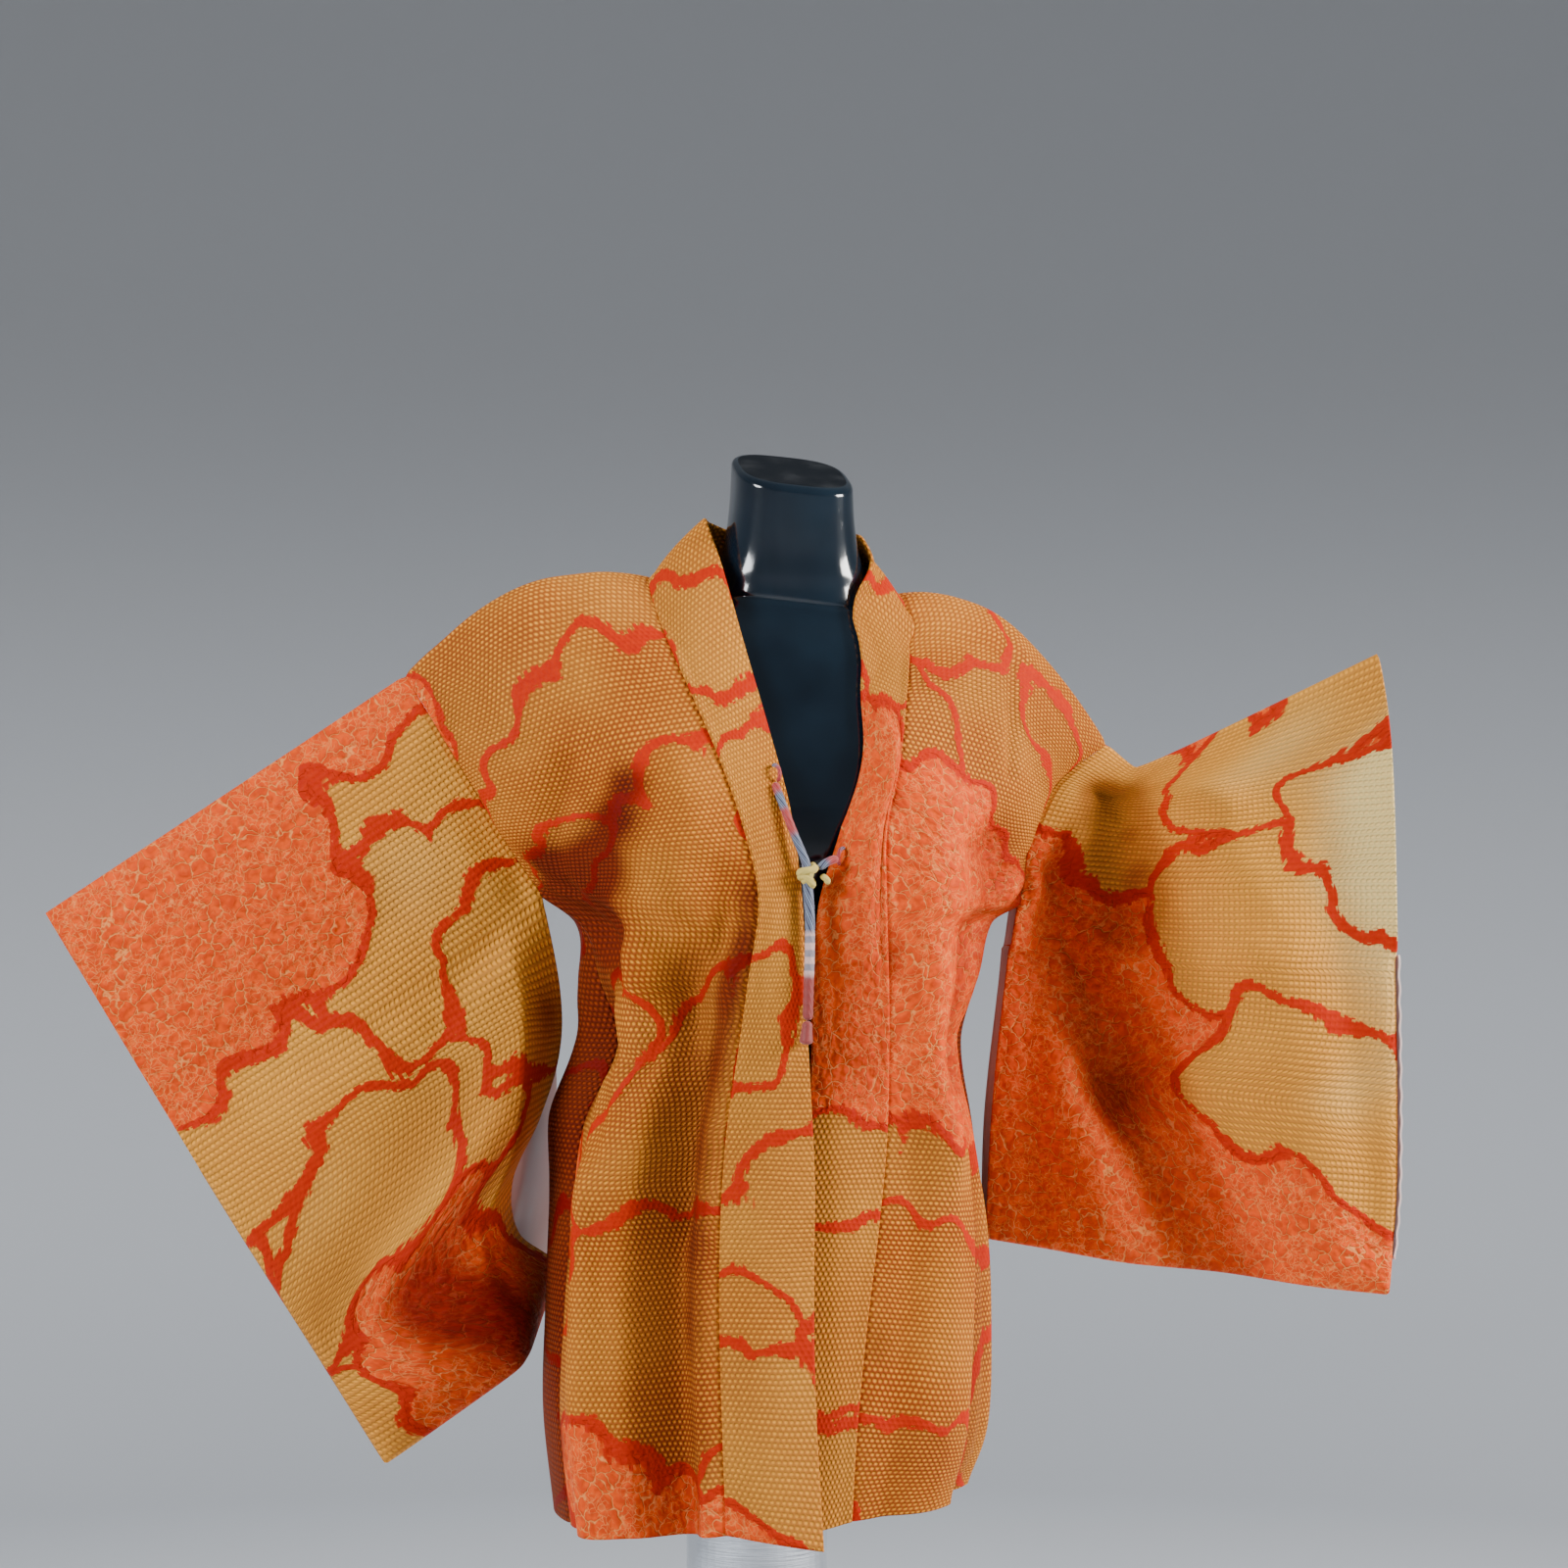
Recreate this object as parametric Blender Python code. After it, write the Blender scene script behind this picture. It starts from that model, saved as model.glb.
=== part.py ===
"""Haori jacket of tie-dyed silk on a limbless dress form. Metres, +Z up, front towards -Y.

Sides are the wearer's, so the wearer's right is on -X. The origin is the middle of the
stand's underside. Every piece of cloth is a grid of points between its own seam lines;
neighbours read the same seam line, so that they meet with a narrow gap.
"""
import math

import bmesh
import bpy
from mathutils import Vector

# Driving sizes
CLOTH = 0.0020
COLLAR_CLOTH = 0.0034
LINING_CLOTH = 0.0010
SEAM_GAP = 0.0003
FORM_CLEARANCE = 0.0060
UNDERARM_EASE = 0.0010
UNDERARM = 0.37
SLEEVE_UNDERARM = 0.40
CUFF_OPEN = 0.45
CENTRE_BACK_NECK = -0.12
PANEL_WIDTH = 0.24
PANEL_LENGTH = 0.76
SLEEVE_WIDTH = 0.34
SLEEVE_DEPTH = 0.50

# Stand
POLE_RADIUS = 0.0125
BASE_RADIUS = 0.190
BASE_THICK = 0.010
BOSS_RADIUS = 0.030
FITTING_RADIUS = 0.056
FITTING_LOW = 0.560
FITTING_TOP = 0.622
SOCKET_RADIUS = 0.062
FORM_LOW = 0.644

# Collar seam line and how the panel's sections are bent.
# share of length (back is negative), x, y, z, roundness, rise of the middle
CENTRE_BACK = [
    (-1.00, 0.012, 0.165, 0.622, 2.2, 0.000),
    (-0.90, 0.013, 0.157, 0.700, 2.2, 0.000),
    (-0.80, 0.014, 0.147, 0.775, 2.2, 0.000),
    (-0.70, 0.016, 0.132, 0.850, 2.2, 0.000),
    (-0.60, 0.018, 0.114, 0.925, 2.1, 0.000),
    (-0.51, 0.019, 0.102, 0.990, 2.0, 0.000),
    (-0.45, 0.020, 0.104, 1.040, 2.0, 0.000),
    (-0.37, 0.021, 0.110, 1.108, 1.8, 0.000),
    (-0.28, 0.022, 0.110, 1.190, 1.6, 0.000),
    (-0.20, 0.023, 0.101, 1.262, 1.5, 0.002),
    (-0.12, 0.024, 0.086, 1.325, 1.4, 0.006),
]
INNER_RIGHT = [
    (-0.12, 0.024, 0.086, 1.325, 1.4, 0.006),
    (-0.08, -0.020, 0.074, 1.341, 1.4, 0.014),
    (-0.04, -0.062, 0.042, 1.353, 1.3, 0.026),
    (0.00, -0.084, 0.000, 1.357, 1.2, 0.032),
    (0.06, -0.081, -0.045, 1.321, 1.3, 0.024),
    (0.14, -0.066, -0.085, 1.271, 1.4, 0.010),
    (0.22, -0.047, -0.116, 1.215, 1.5, 0.000),
    (0.30, -0.031, -0.136, 1.159, 1.6, 0.000),
    (0.37, -0.022, -0.143, 1.107, 1.7, 0.000),
    (0.45, -0.029, -0.140, 1.045, 1.9, 0.000),
    (0.51, -0.034, -0.135, 1.000, 2.0, 0.000),
    (0.60, -0.043, -0.131, 0.930, 2.1, 0.000),
    (0.70, -0.048, -0.134, 0.858, 2.2, 0.000),
    (0.80, -0.049, -0.137, 0.786, 2.2, 0.000),
    (0.90, -0.047, -0.138, 0.706, 2.2, 0.000),
    (1.00, -0.044, -0.138, 0.627, 2.2, 0.000),
]
INNER_LEFT = [
    (-0.12, 0.024, 0.086, 1.325, 1.4, 0.012),
    (-0.08, 0.068, 0.078, 1.335, 1.4, 0.026),
    (-0.04, 0.102, 0.046, 1.343, 1.3, 0.036),
    (0.00, 0.114, 0.000, 1.345, 1.2, 0.040),
    (0.06, 0.109, -0.060, 1.304, 1.3, 0.032),
    (0.14, 0.102, -0.085, 1.261, 1.4, 0.016),
    (0.22, 0.091, -0.116, 1.211, 1.5, 0.000),
    (0.30, 0.077, -0.134, 1.159, 1.6, 0.000),
    (0.37, 0.075, -0.140, 1.106, 1.7, 0.000),
    (0.45, 0.077, -0.136, 1.043, 1.9, 0.000),
    (0.51, 0.078, -0.131, 0.997, 2.0, 0.000),
    (0.60, 0.077, -0.128, 0.929, 2.1, 0.000),
    (0.70, 0.070, -0.129, 0.855, 2.2, 0.000),
    (0.80, 0.061, -0.131, 0.784, 2.2, 0.000),
    (0.90, 0.053, -0.132, 0.703, 2.2, 0.000),
    (1.00, 0.049, -0.132, 0.633, 2.2, 0.000),
]

# Armhole and side seam lines: share of length, x, z, y of the front edge, y of the back edge
SIDE_RIGHT = [
    (0.00, -0.279, 1.280, -0.012, 0.012),
    (0.19, -0.228, 1.194, -0.016, 0.016),
    (0.37, -0.173, 1.110, -0.012, 0.014),
    (0.40, -0.142, 1.087, -0.014, 0.020),
    (0.45, -0.128, 1.043, -0.018, 0.030),
    (0.51, -0.114, 0.993, -0.020, 0.034),
    (0.60, -0.141, 0.929, -0.022, 0.042),
    (0.70, -0.151, 0.853, -0.024, 0.050),
    (0.80, -0.157, 0.777, -0.025, 0.054),
    (0.90, -0.160, 0.701, -0.026, 0.058),
    (1.00, -0.152, 0.619, -0.028, 0.064),
]
SIDE_LEFT = [
    (0.00, 0.286, 1.228, -0.012, 0.012),
    (0.10, 0.252, 1.207, -0.022, 0.014),
    (0.19, 0.232, 1.186, -0.028, 0.016),
    (0.29, 0.216, 1.142, -0.022, 0.016),
    (0.37, 0.210, 1.102, -0.012, 0.014),
    (0.40, 0.182, 1.086, -0.014, 0.020),
    (0.45, 0.172, 1.040, -0.018, 0.030),
    (0.51, 0.157, 0.990, -0.020, 0.034),
    (0.60, 0.167, 0.924, -0.022, 0.042),
    (0.70, 0.179, 0.846, -0.024, 0.050),
    (0.80, 0.182, 0.769, -0.025, 0.056),
    (0.90, 0.179, 0.691, -0.026, 0.060),
    (1.00, 0.162, 0.645, -0.028, 0.064),
]

# Folded edge of the collar: share of length, x, y, z
FREE_RIGHT = [
    (-0.12, 0.027, 0.070, 1.392),
    (-0.08, -0.008, 0.062, 1.400),
    (-0.04, -0.031, 0.040, 1.406),
    (0.00, -0.038, 0.012, 1.405),
    (0.06, -0.033, -0.036, 1.365),
    (0.14, -0.020, -0.070, 1.299),
    (0.22, -0.005, -0.098, 1.230),
    (0.30, 0.006, -0.120, 1.173),
    (0.37, 0.012, -0.134, 1.106),
    (0.45, 0.013, -0.142, 1.044),
    (0.55, 0.017, -0.144, 0.968),
    (0.65, 0.020, -0.146, 0.893),
    (0.76, 0.019, -0.148, 0.817),
    (0.87, 0.020, -0.150, 0.729),
    (1.00, 0.026, -0.152, 0.615),
]
FREE_LEFT = [
    (-0.12, 0.027, 0.070, 1.392),
    (-0.08, 0.058, 0.061, 1.394),
    (-0.04, 0.072, 0.040, 1.395),
    (0.00, 0.074, 0.012, 1.394),
    (0.06, 0.067, -0.036, 1.343),
    (0.14, 0.066, -0.068, 1.280),
    (0.22, 0.066, -0.094, 1.219),
    (0.30, 0.045, -0.116, 1.158),
    (0.37, 0.027, -0.126, 1.106),
    (0.45, 0.021, -0.128, 1.044),
    (0.55, 0.019, -0.129, 0.967),
    (0.65, 0.010, -0.131, 0.892),
    (0.76, 0.003, -0.133, 0.816),
    (0.87, -0.002, -0.135, 0.727),
    (1.00, -0.005, -0.136, 0.622),
]

# Open inner edge of each sleeve below the underarm: share of depth, x, y, z
FURI_RIGHT_FRONT = [
    (0.40, -0.173, -0.012, 1.110),
    (0.50, -0.156, 0.016, 1.033),
    (0.60, -0.156, 0.022, 0.982),
    (0.70, -0.173, 0.012, 0.931),
    (0.78, -0.196, -0.006, 0.885),
    (0.86, -0.186, 0.042, 0.838),
    (0.93, -0.150, 0.100, 0.806),
    (1.00, -0.145, 0.160, 0.770),
]
FURI_RIGHT_BACK = [
    (0.40, -0.173, 0.014, 1.110),
    (0.50, -0.158, 0.052, 1.040),
    (0.60, -0.152, 0.082, 0.985),
    (0.70, -0.149, 0.106, 0.930),
    (0.78, -0.149, 0.126, 0.882),
    (0.86, -0.148, 0.146, 0.836),
    (0.93, -0.150, 0.164, 0.800),
    (1.00, -0.153, 0.184, 0.770),
]
FURI_LEFT_FRONT = [
    (0.40, 0.210, -0.012, 1.102),
    (0.60, 0.199, -0.006, 1.020),
    (0.80, 0.192, 0.004, 0.925),
    (1.00, 0.189, 0.012, 0.829),
]
FURI_LEFT_BACK = [
    (0.40, 0.210, 0.014, 1.102),
    (0.60, 0.202, 0.028, 1.020),
    (0.80, 0.194, 0.038, 0.925),
    (1.00, 0.191, 0.036, 0.829),
]

# Cuff edge of each sleeve, middle between its layers: share of depth, x, y, z
CUFF_RIGHT = [
    (0.00, -0.555, 0.026, 1.095),
    (0.50, -0.426, 0.022, 0.878),
    (1.00, -0.293, 0.026, 0.662),
]
CUFF_LEFT = [
    (0.00, 0.481, -0.100, 1.298),
    (0.15, 0.489, -0.103, 1.223),
    (0.42, 0.493, -0.104, 1.087),
    (0.80, 0.495, -0.104, 0.886),
    (1.00, 0.489, -0.100, 0.793),
]

# Bend of the sleeve's rows away from straight: share of depth, place of the bend, dx, dy, dz
BEND_RIGHT_FRONT = [
    (0.00, 0.30, 0.000, 0.000, 0.000),
    (0.40, 0.12, 0.000, -0.004, 0.000),
    (0.46, 0.14, 0.004, -0.030, 0.010),
    (0.55, 0.18, 0.010, -0.050, 0.028),
    (0.70, 0.28, 0.034, -0.050, 0.026),
    (0.78, 0.24, 0.018, -0.032, 0.008),
    (0.86, 0.40, 0.031, -0.060, 0.022),
    (0.93, 0.50, 0.037, -0.072, 0.023),
    (1.00, 0.55, 0.048, -0.070, 0.025),
]
BEND_RIGHT_BACK = [
    (0.00, 0.30, 0.000, 0.000, 0.000),
    (0.40, 0.12, 0.000, 0.002, 0.000),
    (0.46, 0.14, 0.004, -0.024, 0.010),
    (0.55, 0.18, 0.010, -0.046, 0.026),
    (0.70, 0.28, 0.028, -0.072, 0.026),
    (0.78, 0.30, 0.016, -0.078, 0.012),
    (0.86, 0.40, 0.018, -0.072, 0.020),
    (0.93, 0.50, 0.034, -0.060, 0.023),
    (1.00, 0.55, 0.048, -0.058, 0.025),
]
BEND_LEFT_FRONT = [
    (0.00, 0.16, -0.008, 0.006, -0.034),
    (0.08, 0.20, -0.006, 0.010, -0.030),
    (0.25, 0.30, 0.000, 0.016, -0.012),
    (0.45, 0.36, 0.000, 0.010, -0.006),
    (0.70, 0.40, 0.000, 0.004, -0.004),
    (1.00, 0.40, 0.000, 0.004, -0.004),
]

# Folds: share across and along at both ends, half width, depth (outward positive)
FOLDS_BODY_RIGHT = [
    (0.12, 0.24, 0.70, 0.52, 0.034, 0.014),
    (0.22, 0.46, 0.60, 0.68, 0.030, 0.012),
    (0.32, 0.46, 0.26, 0.98, 0.036, -0.034),
    (0.50, 0.36, 0.84, 0.42, 0.032, -0.010),
    (0.70, 0.66, 0.64, 1.00, 0.036, 0.014),
    (0.50, 0.05, 0.80, 0.26, 0.044, 0.006),
    (0.30, -0.34, 0.56, -0.95, 0.044, -0.022),
    (0.58, -0.44, 0.60, -1.00, 0.036, 0.010),
    (0.14, -0.50, 0.20, -1.00, 0.036, 0.014),
]
FOLDS_BODY_LEFT = [
    (0.22, 0.26, 0.30, 0.60, 0.032, 0.014),
    (0.60, 0.30, 0.72, 0.54, 0.034, -0.018),
    (0.46, 0.03, 0.52, 0.18, 0.024, 0.006),
    (0.30, 0.64, 0.32, 1.00, 0.040, 0.012),
    (0.68, 0.66, 0.62, 0.98, 0.036, -0.014),
    (0.30, -0.34, 0.56, -0.95, 0.044, -0.022),
    (0.66, -0.44, 0.80, -1.00, 0.036, 0.012),
    (0.14, -0.50, 0.20, -1.00, 0.036, 0.014),
]
FOLDS_SLEEVE_RIGHT = [
    (0.10, 0.30, 0.85, 0.52, 0.050, 0.008),
    (0.45, 0.58, 0.95, 0.80, 0.050, -0.008),
    (0.60, 0.86, 0.95, 0.98, 0.045, 0.008),
]
FOLDS_SLEEVE_LEFT = [
    (0.05, 0.36, 0.34, 0.70, 0.036, -0.034),
    (0.34, 0.70, 0.62, 0.98, 0.042, -0.020),
    (0.20, 0.16, 0.32, 0.40, 0.036, -0.026),
    (0.46, 0.16, 0.64, 0.44, 0.044, 0.014),
    (0.68, 0.50, 0.82, 0.98, 0.050, 0.014),
    (0.20, 0.70, 0.32, 1.00, 0.034, 0.012),
]
FOLDS_COLLAR_LEFT = [
    (0.40, 0.20, 0.40, 0.42, 0.016, 0.008),
]

# Form sections: z, centre x, centre y, half width, front depth, back depth, squareness, slope
FORM = [
    (0.644, 0.010, 0.000, 0.128, 0.078, 0.088, 2.3, 0.00),
    (0.652, 0.010, 0.000, 0.139, 0.085, 0.096, 2.3, 0.00),
    (0.720, 0.010, 0.000, 0.150, 0.092, 0.105, 2.3, 0.00),
    (0.800, 0.010, 0.000, 0.153, 0.094, 0.110, 2.3, 0.00),
    (0.880, 0.013, 0.000, 0.142, 0.090, 0.100, 2.3, 0.00),
    (0.940, 0.017, 0.000, 0.127, 0.085, 0.083, 2.3, 0.00),
    (0.990, 0.020, 0.000, 0.117, 0.084, 0.073, 2.3, 0.00),
    (1.050, 0.022, 0.000, 0.123, 0.092, 0.073, 2.3, 0.00),
    (1.100, 0.024, 0.000, 0.133, 0.104, 0.077, 2.3, 0.00),
    (1.140, 0.025, 0.000, 0.141, 0.109, 0.081, 2.4, 0.00),
    (1.180, 0.026, 0.000, 0.147, 0.104, 0.085, 2.4, 0.00),
    (1.220, 0.027, 0.000, 0.152, 0.090, 0.086, 2.4, 0.00),
    (1.260, 0.028, 0.000, 0.158, 0.075, 0.084, 2.3, 0.00),
    (1.290, 0.029, 0.000, 0.162, 0.066, 0.078, 2.2, 0.00),
    (1.308, 0.029, 0.003, 0.160, 0.060, 0.070, 2.2, 0.00),
    (1.318, 0.029, 0.005, 0.146, 0.055, 0.060, 2.2, 0.00),
    (1.326, 0.029, 0.006, 0.116, 0.051, 0.054, 2.1, 0.00),
    (1.335, 0.029, 0.006, 0.084, 0.049, 0.051, 2.1, 0.03),
    (1.348, 0.029, 0.006, 0.067, 0.047, 0.049, 2.2, 0.06),
    (1.366, 0.029, 0.006, 0.059, 0.047, 0.049, 2.4, 0.10),
    (1.384, 0.029, 0.005, 0.053, 0.046, 0.048, 2.6, 0.16),
    (1.410, 0.029, 0.004, 0.049, 0.046, 0.047, 2.8, 0.26),
    (1.440, 0.029, 0.003, 0.047, 0.046, 0.046, 3.0, 0.36),
]
FORM_CORNERS = 36
CAP_THICK = 0.004

# Tie: the route's points, radius
LOOP_RADIUS = 0.0016
LOOP_SIZE = 0.0065
LOOP_LIFT = 0.0007
TIE_RADIUS = 0.0032
TAIL_RADIUS = 0.0040
KNOT_PLACE = (0.015, -0.1425, 1.127)
KNOT_SIZE = (0.0085, 0.0070, 0.0105)
TIE_RIGHT = [(-0.0066, -0.1212, 1.1970), (-0.001, -0.1300, 1.178), (0.006, -0.1375, 1.157), (0.0135, -0.1418, 1.1374)]
TIE_LEFT = [(0.0392, -0.1386, 1.1394), (0.031, -0.1412, 1.1370), (0.0236, -0.1416, 1.1320)]
TAIL = [
    (0.0153, -0.1432, 1.1168), (0.0160, -0.1465, 1.095), (0.0155, -0.1490, 1.070),
    (0.0145, -0.1505, 1.045), (0.0136, -0.1512, 1.0174),
]
TASSEL = [(0.0135, -0.1514, 1.0168, 0.0042), (0.0128, -0.1520, 1.010, 0.0046), (0.012, -0.1525, 0.999, 0.0062)]
SHORT_END = [(0.0248, -0.1435, 1.1262), (0.0285, -0.1447, 1.1245), (0.0310, -0.1453, 1.1200)]

MATERIALS = {
    "silk": ((0.80, 0.40, 0.12, 1.0), 0.70, 0.0),
    "silk_collar": ((0.80, 0.38, 0.14, 1.0), 0.70, 0.0),
    "lining": ((0.86, 0.70, 0.66, 1.0), 0.55, 0.0),
    "braid": ((0.45, 0.10, 0.08, 1.0), 0.65, 0.0),
    "braid_knot": ((0.62, 0.48, 0.12, 1.0), 0.65, 0.0),
    "form_gloss": ((0.010, 0.014, 0.022, 1.0), 0.12, 0.0),
    "socket_black": ((0.015, 0.015, 0.017, 1.0), 0.35, 0.0),
    "chrome": ((0.82, 0.83, 0.84, 1.0), 0.10, 1.0),
    "steel": ((0.62, 0.63, 0.65, 1.0), 0.28, 1.0),
}


def material(name):
    """Return the named material, made once from the table."""
    found = bpy.data.materials.get(name)
    if found:
        return found
    colour, roughness, metallic = MATERIALS[name]
    made = bpy.data.materials.new(name)
    made.use_nodes = True
    shader = made.node_tree.nodes["Principled BSDF"]
    shader.inputs["Base Color"].default_value = colour
    shader.inputs["Roughness"].default_value = roughness
    shader.inputs["Metallic"].default_value = metallic
    made.diffuse_color = colour
    return made


def curve_row(table, place):
    """Smooth row of a table at a place in its first column."""
    last = len(table) - 1
    place = min(max(place, table[0][0]), table[last][0])
    low = 0
    while low < last - 1 and place > table[low + 1][0]:
        low += 1
    start, end = table[low], table[low + 1]
    before, after = table[max(low - 1, 0)], table[min(low + 2, last)]
    length = end[0] - start[0]
    share = (place - start[0]) / length
    values = []
    for column in range(1, len(start)):
        slope_in = (end[column] - before[column]) / (end[0] - before[0])
        slope_out = (after[column] - start[column]) / (after[0] - start[0])
        square, cube = share * share, share ** 3
        value = (2 * cube - 3 * square + 1) * start[column] + (3 * square - 2 * cube) * end[column]
        value += ((cube - 2 * square + share) * slope_in + (cube - square) * slope_out) * length
        values.append(value)
    return values


def arc(share):
    """Height of a quarter circle, 0 to 1."""
    share = min(max(share, 0.0), 1.0)
    return math.sqrt(1.0 - (1.0 - share) ** 2)


def closing(depth):
    """How far a sleeve's two layers are apart near its folded edges, 0 to 1."""
    return arc(depth / 0.10) * arc((1.0 - depth) / 0.06)


def ease(share):
    """Smooth step from 0 to 1."""
    share = min(max(share, 0.0), 1.0)
    return share * share * (3.0 - 2.0 * share)


def soft_peak(share):
    """Straight rise to 1 with its top rounded off."""
    rounding = 0.012
    level = math.sqrt((1.0 - share) ** 2 + rounding)
    return 1.0 - level + (math.sqrt(1.0 + rounding) - 1.0) * (1.0 - share)


def fold_depth(folds, across, along, width, length):
    """Sum of the folds at a place of a panel."""
    total = 0.0
    for across_a, along_a, across_b, along_b, half, depth in folds:
        start = Vector((across_a * width, along_a * length))
        line = Vector((across_b * width, along_b * length)) - start
        place = Vector((across * width, along * length)) - start
        share = min(max(place.dot(line) / line.length_squared, 0.0), 1.0)
        distance = (place - line * share).length / half
        total += depth * math.exp(-distance * distance)
    return total


def form_section(height):
    """Form's section at a height, level sections only."""
    return curve_row(FORM, height)


def clear_of_form(point, clearance):
    """Point moved out of the form, away from its axis."""
    if point.z > 1.43:
        return point
    centre_x, centre_y, half_width, front, back, square, slope = form_section(point.z)
    across, along = point.x - centre_x, point.y - centre_y
    depth = front if along < 0 else back
    reach = math.hypot(across, along)
    if reach < 1e-6:
        return point
    ratio = (abs(across / half_width) ** square + abs(along / depth) ** square) ** (1.0 / square)
    limit = reach / ratio + clearance
    if reach >= limit:
        return point
    scale = limit / reach
    return Vector((centre_x + across * scale, centre_y + along * scale, point.z))


def side_edge(table, along):
    """Armhole and side seam of a panel, front for positive places and back for negative ones."""
    x, z, front, back = curve_row(table, abs(along))
    middle, half = (front + back) / 2.0, (back - front) / 2.0
    half *= closing(abs(along) * SLEEVE_UNDERARM / UNDERARM) if abs(along) < UNDERARM else 1.0
    return Vector((x, middle - half if along >= 0 else middle + half, z))


def inner_edge(inner, along):
    """Collar seam, or the centre back seam below the neck, with the section's roundness and rise."""
    x, y, z, roundness, rise = curve_row(inner if along >= CENTRE_BACK_NECK else CENTRE_BACK, along)
    return clear_of_form(Vector((x, y, z)), COLLAR_CLOTH / 2.0 + FORM_CLEARANCE), roundness, rise


def panel_point(inner, side, folds, across, along):
    """Point of a body panel: across 0 at the collar or centre back seam, 1 at the side."""
    start, roundness, rise = inner_edge(inner, along)
    end = side_edge(side, along)
    angle = across * math.pi / 2.0
    power = 2.0 / roundness
    share = math.sin(angle) ** power
    depth = math.cos(angle) ** power if across < 1.0 else 0.0
    point = Vector((start.x + (end.x - start.x) * share, end.y + (start.y - end.y) * depth, 0.0))
    point.z = start.z + (end.z - start.z) * share + rise * 4.0 * share * (1.0 - share)
    mask = ease(across / 0.18) * ease((1.0 - across) / 0.18)
    out = Vector((point.x - 0.02, point.y, 0.0))
    if abs(along) < 0.10:
        out = Vector((0.0, 0.0, 1.0))
    point += out.normalized() * fold_depth(folds, across, along, PANEL_WIDTH, PANEL_LENGTH) * mask
    if 0.0 < across < 1.0:
        point = clear_of_form(point, CLOTH / 2.0 + FORM_CLEARANCE)
    return point


def sleeve_point(side, furi_front, furi_back, cuff, bend_front, bend_back, folds, across, depth, front):
    """Point of a sleeve's front or back layer: across 0 at the armhole, 1 at the cuff."""
    layers = []
    for is_front in (True, False):
        if depth <= SLEEVE_UNDERARM:
            x, z, y_front, y_back = curve_row(side, depth * UNDERARM / SLEEVE_UNDERARM)
            start = Vector((x, y_front if is_front else y_back, z))
        else:
            start = Vector(curve_row(furi_front if is_front else furi_back, depth))
        end = Vector(curve_row(cuff, depth))
        end.y += -0.009 if is_front else 0.009
        place, *offset = curve_row(bend_front if is_front else bend_back, depth)
        tent = min(across / place, (1.0 - across) / (1.0 - place))
        layers.append(start.lerp(end, across) + Vector(offset) * soft_peak(tent))
    middle = (layers[0] + layers[1]) / 2.0
    point = middle + ((layers[0] if front else layers[1]) - middle) * closing(depth)
    mask = ease(across / 0.10) if depth < SLEEVE_UNDERARM + 0.1 else 1.0
    point.y -= fold_depth(folds, across, depth, SLEEVE_WIDTH, SLEEVE_DEPTH) * mask
    return point


# Gusset: share of length, how far its middle stands out
BULGE_RIGHT = [
    (0.37, 0.000), (0.41, 0.003), (0.45, 0.013), (0.48, 0.023), (0.52, 0.030),
    (0.58, 0.026), (0.66, 0.015), (0.80, 0.009), (1.00, 0.006),
]
BULGE_LEFT = [(0.37, 0.000), (0.44, 0.005), (0.52, 0.009), (0.60, 0.008), (0.80, 0.005), (1.00, 0.003)]

# Rows of each grid
NECK_ROW = -CENTRE_BACK_NECK * SLEEVE_UNDERARM / UNDERARM
EDGE_ROWS = [0.0, 0.005, 0.018, 0.045, 0.09, NECK_ROW, 0.20, 0.27, 0.335, 0.40]
SLEEVE_ROWS = EDGE_ROWS + [0.46, 0.52, 0.58, 0.64, 0.70, 0.745, 0.79, 0.86, 0.93, 0.965, 0.988, 0.997, 1.0]
PANEL_TOP_ROWS = [row * UNDERARM / SLEEVE_UNDERARM for row in EDGE_ROWS]
PANEL_LOW_ROWS = [0.382, 0.40, 0.44, 0.48, 0.52, 0.57, 0.62, 0.68, 0.74, 0.80, 0.86, 0.93, 1.0]
PANEL_ROWS = PANEL_TOP_ROWS + PANEL_LOW_ROWS
PANEL_COLUMNS = 11
SLEEVE_COLUMNS = 13
COLLAR_COLUMNS = 4
GUSSET_COLUMNS = 9
LINING_COLUMNS = 5

SIDES = {
    "right": {
        "inner": INNER_RIGHT, "side": SIDE_RIGHT, "free": FREE_RIGHT, "folds": FOLDS_BODY_RIGHT,
        "bulge": BULGE_RIGHT,
        "furi_front": FURI_RIGHT_FRONT, "furi_back": FURI_RIGHT_BACK, "cuff": CUFF_RIGHT,
        "bend_front": BEND_RIGHT_FRONT, "bend_back": BEND_RIGHT_BACK,
        "sleeve_folds": FOLDS_SLEEVE_RIGHT, "collar_folds": [],
    },
    "left": {
        "inner": INNER_LEFT, "side": SIDE_LEFT, "free": FREE_LEFT, "folds": FOLDS_BODY_LEFT,
        "bulge": BULGE_LEFT,
        "furi_front": FURI_LEFT_FRONT, "furi_back": FURI_LEFT_BACK, "cuff": CUFF_LEFT,
        "bend_front": BEND_LEFT_FRONT, "bend_back": BEND_LEFT_FRONT,
        "sleeve_folds": FOLDS_SLEEVE_LEFT, "collar_folds": FOLDS_COLLAR_LEFT,
    },
}


def panel_grid(name):
    """Body panel from back hem over the shoulder to front hem."""
    spec = SIDES[name]
    rows = [-row for row in reversed(PANEL_ROWS[1:])] + PANEL_ROWS
    grid = []
    for along in rows:
        shares = [column / (PANEL_COLUMNS - 1) for column in range(PANEL_COLUMNS)]
        grid.append([panel_point(spec["inner"], spec["side"], spec["folds"], share, along) for share in shares])
    return grid


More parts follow.
